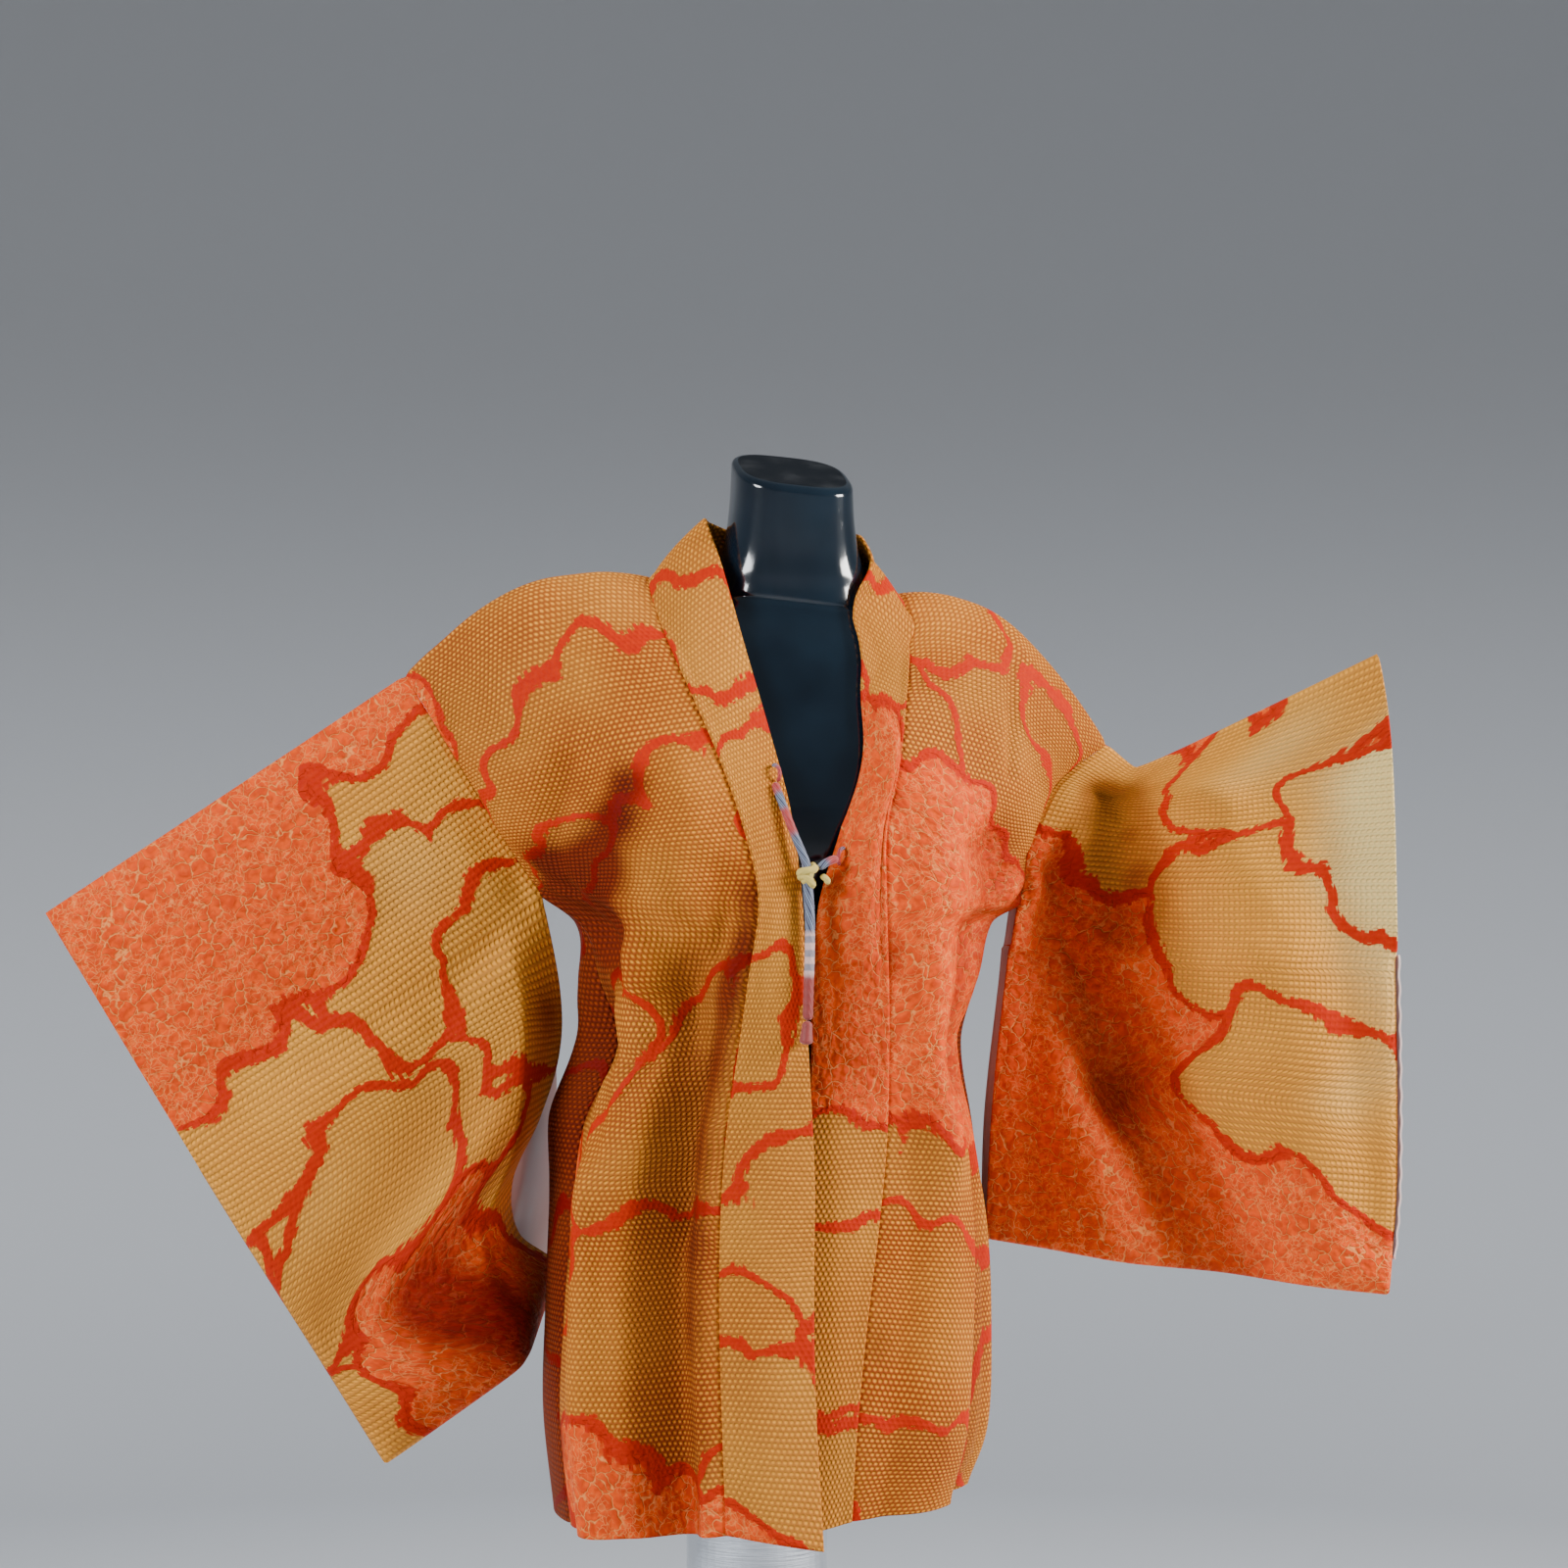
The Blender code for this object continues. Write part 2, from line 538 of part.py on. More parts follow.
def gusset_grid(name):
    """Gusset between the side edges of the front and the back."""
    spec = SIDES[name]
    outward = -1.0 if name == "right" else 1.0
    grid = []
    for along in PANEL_LOW_ROWS:
        bulge = curve_row(spec["bulge"], along)[0]
        front, back = side_edge(spec["side"], along), side_edge(spec["side"], -along)
        row = []
        for column in range(GUSSET_COLUMNS):
            share = column / (GUSSET_COLUMNS - 1)
            point = front.lerp(back, share)
            point.x += outward * bulge * 4.0 * share * (1.0 - share)
            row.append(point)
        grid.append(row)
    return grid


def sleeve_grid(name):
    """Sleeve as a bag: front layer from the top fold down, back layer up again."""
    spec = SIDES[name]
    rings = [(depth, True) for depth in SLEEVE_ROWS] + [(depth, False) for depth in reversed(SLEEVE_ROWS[1:-1])]
    grid = []
    for depth, front in rings:
        row = []
        for column in range(SLEEVE_COLUMNS):
            across = column / (SLEEVE_COLUMNS - 1)
            row.append(sleeve_point(
                spec["side"], spec["furi_front"], spec["furi_back"], spec["cuff"], spec["bend_front"],
                spec["bend_back"], spec["sleeve_folds"], across, depth, front))
        grid.append(row)
    return grid


def collar_point(name, across, along):
    """Point of the collar band: across 0 at the seam, 1 at the folded edge."""
    spec = SIDES[name]
    start = inner_edge(spec["inner"], along)[0]
    end = Vector(curve_row(spec["free"], along))
    point = start.lerp(end, across)
    out = Vector((point.x - 0.02, point.y - 0.01, 0.0)).normalized()
    bow = 0.004 * 4.0 * across * (1.0 - across)
    point += out * (bow + fold_depth(spec["collar_folds"], across, along, 0.07, PANEL_LENGTH) * ease(across / 0.2))
    if across > 0.0:
        point = clear_of_form(point, COLLAR_CLOTH / 2.0 + FORM_CLEARANCE)
    return point


def collar_rows():
    """Rows from the centre back of the neck to the front hem."""
    back = [-row for row in reversed(PANEL_TOP_ROWS[1:]) if -row >= CENTRE_BACK_NECK - 0.001]
    return back + PANEL_ROWS


def collar_grid(name):
    """Half of the folded collar."""
    grid = []
    for along in collar_rows():
        shares = [column / (COLLAR_COLUMNS - 1) for column in range(COLLAR_COLUMNS)]
        grid.append([collar_point(name, share, along) for share in shares])
    return grid


def grid_faces(rows, columns, ring, flip):
    """Triangles of a grid, each corner as (row, column), so that both layers share diagonals."""
    faces = []
    for row in range(rows if ring else rows - 1):
        after = (row + 1) % rows
        for column in range(columns - 1):
            first = [(row, column), (after, column), (after, column + 1)]
            second = [(row, column), (after, column + 1), (row, column + 1)]
            faces += [list(reversed(face)) for face in (first, second)] if flip else [first, second]
    return faces


def key(point):
    """Place of a point, rounded so that shared seam points agree."""
    return (round(point.x, 5), round(point.y, 5), round(point.z, 5))


def shared_normals(grids):
    """Normals of all grids together, so that neighbours are thick in the same direction."""
    sums = {}
    for grid, ring, flip in grids:
        for face in grid_faces(len(grid), len(grid[0]), ring, flip):
            points = [grid[row][column] for row, column in face]
            normal = (points[1] - points[0]).cross(points[2] - points[0])
            for point in points:
                sums[key(point)] = sums.get(key(point), Vector((0.0, 0.0, 0.0))) + normal
    return {place: total.normalized() for place, total in sums.items()}


def new_object(name, vertices, faces, material_name, smooth=True):
    """Closed mesh object with outward faces."""
    mesh = bpy.data.meshes.new(name)
    mesh.from_pydata([tuple(vertex) for vertex in vertices], [], faces)
    mesh.update()
    work = bmesh.new()
    work.from_mesh(mesh)
    bmesh.ops.recalc_face_normals(work, faces=work.faces)
    if work.calc_volume(signed=True) < 0:
        bmesh.ops.reverse_faces(work, faces=work.faces)
    work.to_mesh(mesh)
    work.free()
    if smooth:
        mesh.polygons.foreach_set("use_smooth", [True] * len(mesh.polygons))
    mesh.materials.append(material(material_name))
    made = bpy.data.objects.new(name, mesh)
    bpy.context.scene.collection.objects.link(made)
    return made


def inset_grid(grid, seams):
    """Grid with its seam edges moved in by half the seam gap."""
    rows, columns = len(grid), len(grid[0])
    moved = [[point.copy() for point in row] for row in grid]
    for row in range(rows):
        for column in range(columns):
            shift = Vector((0.0, 0.0, 0.0))
            if "first_column" in seams and column == 0:
                shift += (grid[row][1] - grid[row][0]).normalized()
            if "last_column" in seams and column == columns - 1:
                shift += (grid[row][-2] - grid[row][-1]).normalized()
            if "first_row" in seams and row == 0:
                shift += (grid[1][column] - grid[0][column]).normalized()
            if "last_row" in seams and row == rows - 1:
                shift += (grid[-2][column] - grid[-1][column]).normalized()
            moved[row][column] += shift * (SEAM_GAP / 2.0)
    return moved


def sheet_solid(name, grid, normals, thick, flip, seams, material_name):
    """Open sheet given a thickness and closed round its edge."""
    rows, columns = len(grid), len(grid[0])
    moved = inset_grid(grid, seams)
    vertices, half = [], thick / 2.0
    for side in (1.0, -1.0):
        for row in range(rows):
            for column in range(columns):
                vertices.append(moved[row][column] + normals[key(grid[row][column])] * half * side)
    lower = rows * columns
    faces = []
    for face in grid_faces(rows, columns, False, flip):
        corners = [row * columns + column for row, column in face]
        faces.append(corners)
        faces.append([lower + corner for corner in reversed(corners)])
    border = [(0, column) for column in range(columns)]
    border += [(row, columns - 1) for row in range(1, rows)]
    border += [(rows - 1, column) for column in range(columns - 2, -1, -1)]
    border += [(row, 0) for row in range(rows - 2, 0, -1)]
    for index, (row, column) in enumerate(border):
        next_row, next_column = border[(index + 1) % len(border)]
        first, second = row * columns + column, next_row * columns + next_column
        faces.append([first, second, lower + second, lower + first])
    return new_object(name, vertices, faces, material_name)


def sleeve_solid(name, grid, normals, flip):
    """Sleeve with its armhole end open and its cuff end sewn shut below the opening."""
    rings, columns = len(grid), len(grid[0])
    moved = inset_grid(grid, ["first_column", "first_column"])
    for row in range(rings):
        depth = SLEEVE_ROWS[row] if row < len(SLEEVE_ROWS) else SLEEVE_ROWS[rings - row]
        if abs(depth - SLEEVE_UNDERARM) < 0.07:
            moved[row][0] += (grid[row][1] - grid[row][0]).normalized() * UNDERARM_EASE
    half = CLOTH / 2.0
    shut = [row for row, depth in enumerate(SLEEVE_ROWS) if depth > CUFF_OPEN]
    first_shut, bottom = shut[0], len(SLEEVE_ROWS) - 1
    closed_rows = set(range(first_shut, rings - first_shut + 1))
    vertices = []
    for side in (1.0, -1.0):
        for row in range(rings):
            for column in range(columns):
                point = moved[row][column] + normals[key(grid[row][column])] * half * side
                if side < 0 and column == columns - 1 and row in closed_rows:
                    point += (grid[row][-2] - grid[row][-1]).normalized() * CLOTH
                vertices.append(point)
    lower = rings * columns
    last = columns - 1
    faces = []
    for face in grid_faces(rings, columns, True, flip):
        corners = [row * columns + column for row, column in face]
        faces.append(corners)
        faces.append([lower + corner for corner in reversed(corners)])
    for row in range(rings):
        after = (row + 1) % rings
        faces.append([row * columns, after * columns, lower + after * columns, lower + row * columns])
        if row in closed_rows and after in closed_rows:
            continue
        first, second = row * columns + last, after * columns + last
        faces.append([first, second, lower + second, lower + first])
    for row in range(first_shut, bottom):
        pair, next_pair = rings - row, rings - row - 1
        corners = [row * columns + last, (row + 1) * columns + last]
        corners += [next_pair * columns + last, pair * columns + last]
        if row + 1 == bottom:
            corners = corners[:2] + [pair * columns + last]
        faces.append(corners)
        faces.append([lower + corner for corner in reversed(corners)])
    pair = rings - first_shut
    first, second = first_shut * columns + last, pair * columns + last
    faces.append([first, second, lower + second, lower + first])
    return new_object(name, vertices, faces, "silk")


def lining_right_solid(name, grid, normals):
    """Lining made from the points of the right sleeve's back layer, moved into its open edge."""
    rings = len(grid)
    rows = [row for row in range(len(SLEEVE_ROWS), rings) if 0.50 < SLEEVE_ROWS[rings - row] < 0.95]
    columns = range(LINING_COLUMNS)
    offset = CLOTH / 2.0 + LINING_CLOTH / 2.0 + SEAM_GAP
    lifted, lifted_normals = [], {}
    for row in rows:
        line = []
        for column in columns:
            normal = normals[key(grid[row][column])]
            point = grid[row][column] - normal * offset
            if column == 0:
                point += (grid[row][1] - grid[row][0]) * 0.04
            lifted_normals[key(point)] = normal
            line.append(point)
        lifted.append(line)
    return sheet_solid(name, lifted, lifted_normals, LINING_CLOTH, True, [], "lining")


def lining_left_solid(name):
    """Narrow edge of lining that shows along the sewn part of the left cuff."""
    spec = SIDES["left"]
    depths = [0.47, 0.56, 0.66, 0.76, 0.86, 0.94]
    grid = []
    for depth in depths:
        centre = Vector(curve_row(spec["cuff"], depth)) + Vector((0.0018, 0.0, 0.0))
        grid.append([centre + Vector((0.0, share, 0.0)) for share in (-0.0070, 0.0, 0.0070)])
    normals = {key(point): Vector((1.0, 0.0, 0.0)) for row in grid for point in row}
    return sheet_solid(name, grid, normals, 0.0020, False, [], "lining")


def ring_solid(name, rings, material_name):
    """Closed solid through rings with the same number of points."""
    vertices = [point for ring in rings for point in ring]
    corners = len(rings[0])
    faces = [list(range(corners)), list(range(len(vertices) - corners, len(vertices)))]
    for ring in range(len(rings) - 1):
        for corner in range(corners):
            after = (corner + 1) % corners
            low, high = ring * corners, (ring + 1) * corners
            faces.append([low + corner, low + after, high + after, high + corner])
    return new_object(name, vertices, faces, material_name)


def form_ring(height, grow=0.0, lift=0.0):
    """Ring of the form at a height, tilted by its slope."""
    centre_x, centre_y, half_width, front, back, square, slope = form_section(height)
    ring = []
    for corner in range(FORM_CORNERS):
        angle = 2.0 * math.pi * corner / FORM_CORNERS
        sine, cosine = math.sin(angle), math.cos(angle)
        power = 2.0 / square
        depth = back if sine > 0 else front
        across = math.copysign(abs(cosine) ** power, cosine) * (half_width + grow)
        along = math.copysign(abs(sine) ** power, sine) * (depth + grow)
        rise = slope * along - 0.25 * slope * across + lift
        ring.append(Vector((centre_x + across, centre_y + along, height + rise)))
    return ring


def build_form():
    """Torso with its neck, and the plate that closes the neck."""
    heights = [row[0] for row in FORM]
    finer = []
    for low, high in zip(heights, heights[1:]):
        finer.append(low)
        if high - low > 0.045:
            finer.append((low + high) / 2.0)
    finer.append(heights[-1])
    ring_solid("form_torso", [form_ring(height) for height in finer], "form_gloss")
    top = heights[-1]
    rings = [form_ring(top, 0.0, SEAM_GAP), form_ring(top, 0.0, CAP_THICK), form_ring(top, -0.0015, CAP_THICK + 0.0015)]
    ring_solid("form_cap", rings, "form_gloss")


def turned(name, profile, material_name, corners=48):
    """Closed solid turned about the pole's axis from (radius, height) pairs."""
    rings = []
    for radius, height in profile:
        angles = [2.0 * math.pi * corner / corners for corner in range(corners)]
        rings.append([Vector((radius * math.cos(angle), radius * math.sin(angle), height)) for angle in angles])
    return ring_solid(name, rings, material_name)


def build_stand():
    """Black socket, bright fitting, pole and round base."""
    gap = SEAM_GAP
    turned("stand_socket", [(SOCKET_RADIUS, FITTING_TOP + gap), (SOCKET_RADIUS, FORM_LOW - gap)], "socket_black")
    profile = [(FITTING_RADIUS - 0.006, FITTING_LOW), (FITTING_RADIUS, FITTING_LOW + 0.006)]
    profile += [(FITTING_RADIUS, FITTING_TOP)]
    turned("stand_fitting", profile, "chrome")
    turned("stand_pole", [(POLE_RADIUS, BASE_THICK + 0.025 + gap), (POLE_RADIUS, FITTING_LOW - gap)], "chrome", 24)
    profile = [(BASE_RADIUS - 0.002, 0.0), (BASE_RADIUS, 0.002), (BASE_RADIUS, BASE_THICK - 0.003)]
    profile += [(BASE_RADIUS - 0.004, BASE_THICK), (BOSS_RADIUS, BASE_THICK + 0.002)]
    profile += [(BOSS_RADIUS - 0.004, BASE_THICK + 0.025)]
    turned("stand_base", profile, "steel")


def tube(name, points, radius, material_name, resolution=2):
    """Round cord with filled ends along its points."""
    data = bpy.data.curves.new(name, "CURVE")
    data.dimensions = "3D"
    data.bevel_depth = radius
    data.bevel_resolution = resolution
    data.use_fill_caps = True
    path = data.splines.new("POLY")
    path.points.add(len(points) - 1)
    for target, point in zip(path.points, points):
        target.co = (point[0], point[1], point[2], 1.0)
    data.materials.append(material(material_name))
    made = bpy.data.objects.new(name, data)
    bpy.context.scene.collection.objects.link(made)
    return made


def smooth_path(points, step):
    """Points of a smooth line through the given ones, about a step apart."""
    table, total = [], 0.0
    for index, point in enumerate(points):
        if index:
            total += (Vector(point) - Vector(points[index - 1])).length
        table.append((total, *point))
    count = max(2, round(total / step))
    return [Vector(curve_row(table, total * index / count)) for index in range(count + 1)]


def loop_path(name, across, along):
    """Half ring standing off the collar's face."""
    centre = collar_point(name, across, along)
    over = collar_point(name, across + 0.03, along) - collar_point(name, across - 0.03, along)
    drop = collar_point(name, across, along + 0.006) - collar_point(name, across, along - 0.006)
    out = over.cross(drop).normalized()
    if out.y > 0:
        out.negate()
    drop.normalize()
    points = []
    for index in range(9):
        angle = math.pi * index / 8
        place = centre + drop * (LOOP_SIZE * math.cos(angle)) + out * (LOOP_SIZE * math.sin(angle))
        points.append(place + out * (COLLAR_CLOTH / 2.0 + LOOP_LIFT))
    return points


def build_ties():
    """Loops, cords, knot and ends of the tie."""
    tube("loop_right", loop_path("right", 0.84, 0.255), LOOP_RADIUS, "braid")
    tube("loop_left", loop_path("left", 0.80, 0.325), LOOP_RADIUS, "braid")
    tube("tie_right", smooth_path(TIE_RIGHT, 0.010), TIE_RADIUS, "braid")
    tube("tie_left", smooth_path(TIE_LEFT, 0.006), TIE_RADIUS, "braid")
    tube("tie_tail", smooth_path(TAIL, 0.012), TAIL_RADIUS, "braid", 3)
    tube("tie_short", smooth_path(SHORT_END, 0.004), TIE_RADIUS * 0.8, "braid_knot")
    rings = []
    for x, y, z, radius in TASSEL:
        angles = [2.0 * math.pi * corner / 12 for corner in range(12)]
        rings.append([Vector((x + radius * math.cos(angle), y + 0.7 * radius * math.sin(angle), z)) for angle in angles])
    ring_solid("tie_tassel", rings, "braid")
    rings = []
    for level in range(1, 8):
        tilt = math.pi * level / 8
        ring = []
        for corner in range(14):
            angle = 2.0 * math.pi * corner / 14
            ring.append(Vector((
                KNOT_PLACE[0] + KNOT_SIZE[0] * math.sin(tilt) * math.cos(angle),
                KNOT_PLACE[1] + KNOT_SIZE[1] * math.sin(tilt) * math.sin(angle),
                KNOT_PLACE[2] - KNOT_SIZE[2] * math.cos(tilt),
            )))
        rings.append(ring)
    ring_solid("tie_knot", rings, "braid_knot")


def build_cloth():
    """All cloth pieces, thick in shared directions."""
    grids = {}
    for name in SIDES:
        right = name == "right"
        grids["body_" + name] = (panel_grid(name), False, right)
        grids["gusset_" + name] = (gusset_grid(name), False, right)
        grids["sleeve_" + name] = (sleeve_grid(name), True, right)
        grids["collar_" + name] = (collar_grid(name), False, not right)
    normals = shared_normals(list(grids.values()))
    for name in SIDES:
        body, _, flip = grids["body_" + name]
        sheet_solid("body_" + name, body, normals, CLOTH, flip, ["first_column", "last_column"], "silk")
        gusset, _, flip = grids["gusset_" + name]
        seams = ["first_column", "last_column"]
        sheet_solid("gusset_" + name, gusset, normals, CLOTH, flip, seams + ["first_row"], "silk")
        sleeve, _, flip = grids["sleeve_" + name]
        sleeve_solid("sleeve_" + name, sleeve, normals, flip)
        collar, _, flip = grids["collar_" + name]
        sheet_solid("collar_" + name, collar, normals, COLLAR_CLOTH, flip, ["first_column", "first_row"], "silk_collar")
    lining_right_solid("lining_right", grids["sleeve_right"][0], normals)
    lining_left_solid("lining_left")


def main():
    for item in list(bpy.data.objects):
        bpy.data.objects.remove(item, do_unlink=True)
    build_form()
    build_stand()
    build_cloth()
    build_ties()


main()
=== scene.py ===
"""Haori jacket of tie-dyed silk on a gloss dress form: the visible model round the CAD frame.

Sides are the wearer's, so the wearer's right is on -X and on the left of the picture.
Every piece of cloth is a fine grid between its own seam lines, with a lining layer behind it.
Clouds are placed in metres: across from the collar seam or the armhole, and along from the top fold.
Places along are negative on the back of the jacket.
"""

import math

import bmesh
import bpy
import numpy as np
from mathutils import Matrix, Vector


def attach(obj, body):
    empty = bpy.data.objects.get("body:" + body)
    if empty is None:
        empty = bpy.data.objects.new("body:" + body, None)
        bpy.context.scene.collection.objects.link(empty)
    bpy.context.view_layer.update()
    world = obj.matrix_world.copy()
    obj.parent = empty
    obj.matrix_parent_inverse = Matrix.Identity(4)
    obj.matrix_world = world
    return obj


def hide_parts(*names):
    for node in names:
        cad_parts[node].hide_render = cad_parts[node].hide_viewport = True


bl_info = {
    "name": "Haori jacket on dress form",
    "version": (1, 0, 0),
    "blender": (4, 5, 0),
    "location": "View3D > Sidebar > Haori",
    "description": "Builds a tie-dyed silk haori with its tie, lining, gloss form, stand and studio",
    "category": "Object",
}

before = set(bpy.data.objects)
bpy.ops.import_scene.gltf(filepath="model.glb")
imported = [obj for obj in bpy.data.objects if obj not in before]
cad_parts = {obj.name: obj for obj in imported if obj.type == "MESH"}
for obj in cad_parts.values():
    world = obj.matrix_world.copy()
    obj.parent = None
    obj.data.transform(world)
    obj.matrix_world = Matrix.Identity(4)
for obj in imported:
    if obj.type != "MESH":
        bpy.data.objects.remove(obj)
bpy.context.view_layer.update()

# Sizes shared with the solids
FORM_CLEARANCE = 0.0060
COLLAR_CLOTH = 0.0034
UNDERARM = 0.37
SLEEVE_UNDERARM = 0.40
CUFF_OPEN = 0.45
CENTRE_BACK_NECK = -0.12
PANEL_WIDTH = 0.24
PANEL_LENGTH = 0.76
SLEEVE_WIDTH = 0.34
SLEEVE_DEPTH = 0.50
BAND_WIDTH = 0.07
BODY_CLOTH_WIDTH = 0.26
SLEEVE_TOP_ROUNDING = 0.10
SLEEVE_FOOT_ROUNDING = 0.06
COLLAR_UNDER_SEAM = 0.04
COLLAR_BOW = 0.016
COLLAR_LIFT = 0.0012
CUFF_HALF = 0.009
LAYER_GAP = 0.001
NECK_FREE_ABOVE = 1.43

# Shares of a panel or sleeve over which a shape fades in
SHOULDER_TOP = 0.14
SHOULDER_TURN = 0.08
FOLD_FADE = 0.18
CREASE_FADE = 0.05
SLEEVE_FOLD_FADE = 0.10
COLLAR_FOLD_FADE = 0.2
CUFF_SHUT = 0.03
CUFF_ROUNDING = 0.05

# Directions and axes
LEVEL = (1.0, 1.0, 0.0)
UP = (0.0, 0.0, 1.0)
TO_FRONT = (0.0, -1.0, 0.0)
BODY_AXIS = (0.02, 0.0, 0.0)
COLLAR_AXIS = (0.02, 0.01, 0.0)

# Points across and along each grid of cloth
BODY_GRID = (121, 601)
GUSSET_GRID = (25, 241)
SLEEVE_GRID = (137, 201)
COLLAR_ROWS = 381
LINING_RIGHT_GRID = (41, 121)
LINING_LEFT_GRID = (17, 121)
LINING_STEP = 2

# Cloud outlines
LOBE_BLEND = 0.0075
SCALLOP_WIDTH = 0.058
SCALLOP_DEPTH = 0.0080
SCALLOP_MEAN = 1.27
SCALLOP_TURN = 0.9
SWAY = 0.0035
FAR_FROM_OUTLINE = 0.2

# Clouds where the picture shows none
CLOUD_ROW_STEP = 0.115
CLOUD_STEP = 0.14
CLOUD_CORE = 0.055
CLOUD_LOBE = 0.030
CLOUD_LOBES = 5

# Form, camera and floor
FORM_CORNERS = 128
FORM_FOOT = 0.652
FORM_NECK_TOP = 1.4400
FORM_EDGE = 0.0055
FORM_EDGE_DEPTH = 0.0050
FORM_FOOT_EDGE = 0.008
FORM_FOOT_DEPTH = 0.0060
GROOVE_HEIGHT = 1.3415
GROOVE_DEPTH = 0.0016
GROOVE_WIDTH = 0.0022
CAMERA_PLACE = (-0.499, -2.954, 1.196)
CAMERA_AIM = (0.022, 0.0, 1.196)
CAMERA_LENS = 86.5
FLOOR_RADIUS = 3.4
FLOOR_BEND = 1.4
FLOOR_TOP = 3.4
FLOOR_CORNERS = 96
FLOOR_BEND_STEPS = 16

# Collar seam line: share of length (back is negative), x, y, z, roundness, rise of the middle
CENTRE_BACK = [
    (-1.00, 0.012, 0.165, 0.622, 2.2, 0.000),
    (-0.90, 0.013, 0.157, 0.700, 2.2, 0.000),
    (-0.80, 0.014, 0.147, 0.775, 2.2, 0.000),
    (-0.70, 0.016, 0.132, 0.850, 2.2, 0.000),
    (-0.60, 0.018, 0.114, 0.925, 2.1, 0.000),
    (-0.51, 0.019, 0.102, 0.990, 2.0, 0.000),
    (-0.45, 0.020, 0.104, 1.040, 2.0, 0.000),
    (-0.37, 0.021, 0.110, 1.108, 1.8, 0.000),
    (-0.28, 0.022, 0.110, 1.190, 1.6, 0.000),
    (-0.20, 0.023, 0.101, 1.262, 1.5, 0.002),
    (-0.12, 0.024, 0.086, 1.325, 1.4, 0.006),
]
INNER_RIGHT = [
    (-0.12, 0.024, 0.086, 1.325, 1.4, 0.006),
    (-0.08, -0.020, 0.074, 1.341, 1.4, 0.014),
    (-0.04, -0.062, 0.042, 1.353, 1.3, 0.026),
    (0.00, -0.084, 0.000, 1.357, 1.2, 0.032),
    (0.06, -0.081, -0.045, 1.321, 1.3, 0.024),
    (0.14, -0.066, -0.085, 1.271, 1.4, 0.010),
    (0.22, -0.047, -0.116, 1.215, 1.5, 0.000),
    (0.30, -0.031, -0.136, 1.159, 1.6, 0.000),
    (0.37, -0.022, -0.143, 1.107, 1.7, 0.000),
    (0.45, -0.029, -0.140, 1.045, 1.9, 0.000),
    (0.51, -0.034, -0.135, 1.000, 2.0, 0.000),
    (0.60, -0.043, -0.131, 0.930, 2.1, 0.000),
    (0.70, -0.048, -0.134, 0.858, 2.2, 0.000),
    (0.80, -0.049, -0.137, 0.786, 2.2, 0.000),
    (0.90, -0.047, -0.138, 0.706, 2.2, 0.000),
    (1.00, -0.044, -0.138, 0.627, 2.2, 0.000),
]
INNER_LEFT = [
    (-0.12, 0.024, 0.086, 1.325, 1.4, 0.012),
    (-0.08, 0.068, 0.078, 1.335, 1.4, 0.026),
    (-0.04, 0.102, 0.046, 1.343, 1.3, 0.036),
    (0.00, 0.114, 0.000, 1.345, 1.2, 0.040),
    (0.06, 0.109, -0.060, 1.304, 1.3, 0.032),
    (0.14, 0.102, -0.085, 1.261, 1.4, 0.016),
    (0.22, 0.091, -0.116, 1.211, 1.5, 0.000),
    (0.30, 0.077, -0.134, 1.159, 1.6, 0.000),
    (0.37, 0.075, -0.140, 1.106, 1.7, 0.000),
    (0.45, 0.077, -0.136, 1.043, 1.9, 0.000),
    (0.51, 0.078, -0.131, 0.997, 2.0, 0.000),
    (0.60, 0.077, -0.128, 0.929, 2.1, 0.000),
    (0.70, 0.070, -0.129, 0.855, 2.2, 0.000),
    (0.80, 0.061, -0.131, 0.784, 2.2, 0.000),
    (0.90, 0.053, -0.132, 0.703, 2.2, 0.000),
    (1.00, 0.049, -0.132, 0.633, 2.2, 0.000),
]

# Armhole and side seam: share of length, x, z, y of the front edge, y of the back edge
SIDE_RIGHT = [
    (0.00, -0.279, 1.280, -0.012, 0.012),
    (0.19, -0.228, 1.194, -0.016, 0.016),
    (0.37, -0.173, 1.110, -0.012, 0.014),
    (0.40, -0.142, 1.087, -0.014, 0.020),
    (0.45, -0.128, 1.043, -0.018, 0.030),
    (0.51, -0.114, 0.993, -0.020, 0.034),
    (0.60, -0.141, 0.929, -0.022, 0.042),
    (0.70, -0.151, 0.853, -0.024, 0.050),
    (0.80, -0.157, 0.777, -0.025, 0.054),
    (0.90, -0.160, 0.701, -0.026, 0.058),
    (1.00, -0.152, 0.619, -0.028, 0.064),
]
SIDE_LEFT = [
    (0.00, 0.286, 1.228, -0.012, 0.012),
    (0.10, 0.252, 1.207, -0.022, 0.014),
    (0.19, 0.232, 1.186, -0.028, 0.016),
    (0.29, 0.216, 1.142, -0.022, 0.016),
    (0.37, 0.210, 1.102, -0.012, 0.014),
    (0.40, 0.182, 1.086, -0.014, 0.020),
    (0.45, 0.172, 1.040, -0.018, 0.030),
    (0.51, 0.157, 0.990, -0.020, 0.034),
    (0.60, 0.167, 0.924, -0.022, 0.042),
    (0.70, 0.179, 0.846, -0.024, 0.050),
    (0.80, 0.182, 0.769, -0.025, 0.056),
    (0.90, 0.179, 0.691, -0.026, 0.060),
    (1.00, 0.162, 0.645, -0.028, 0.064),
]

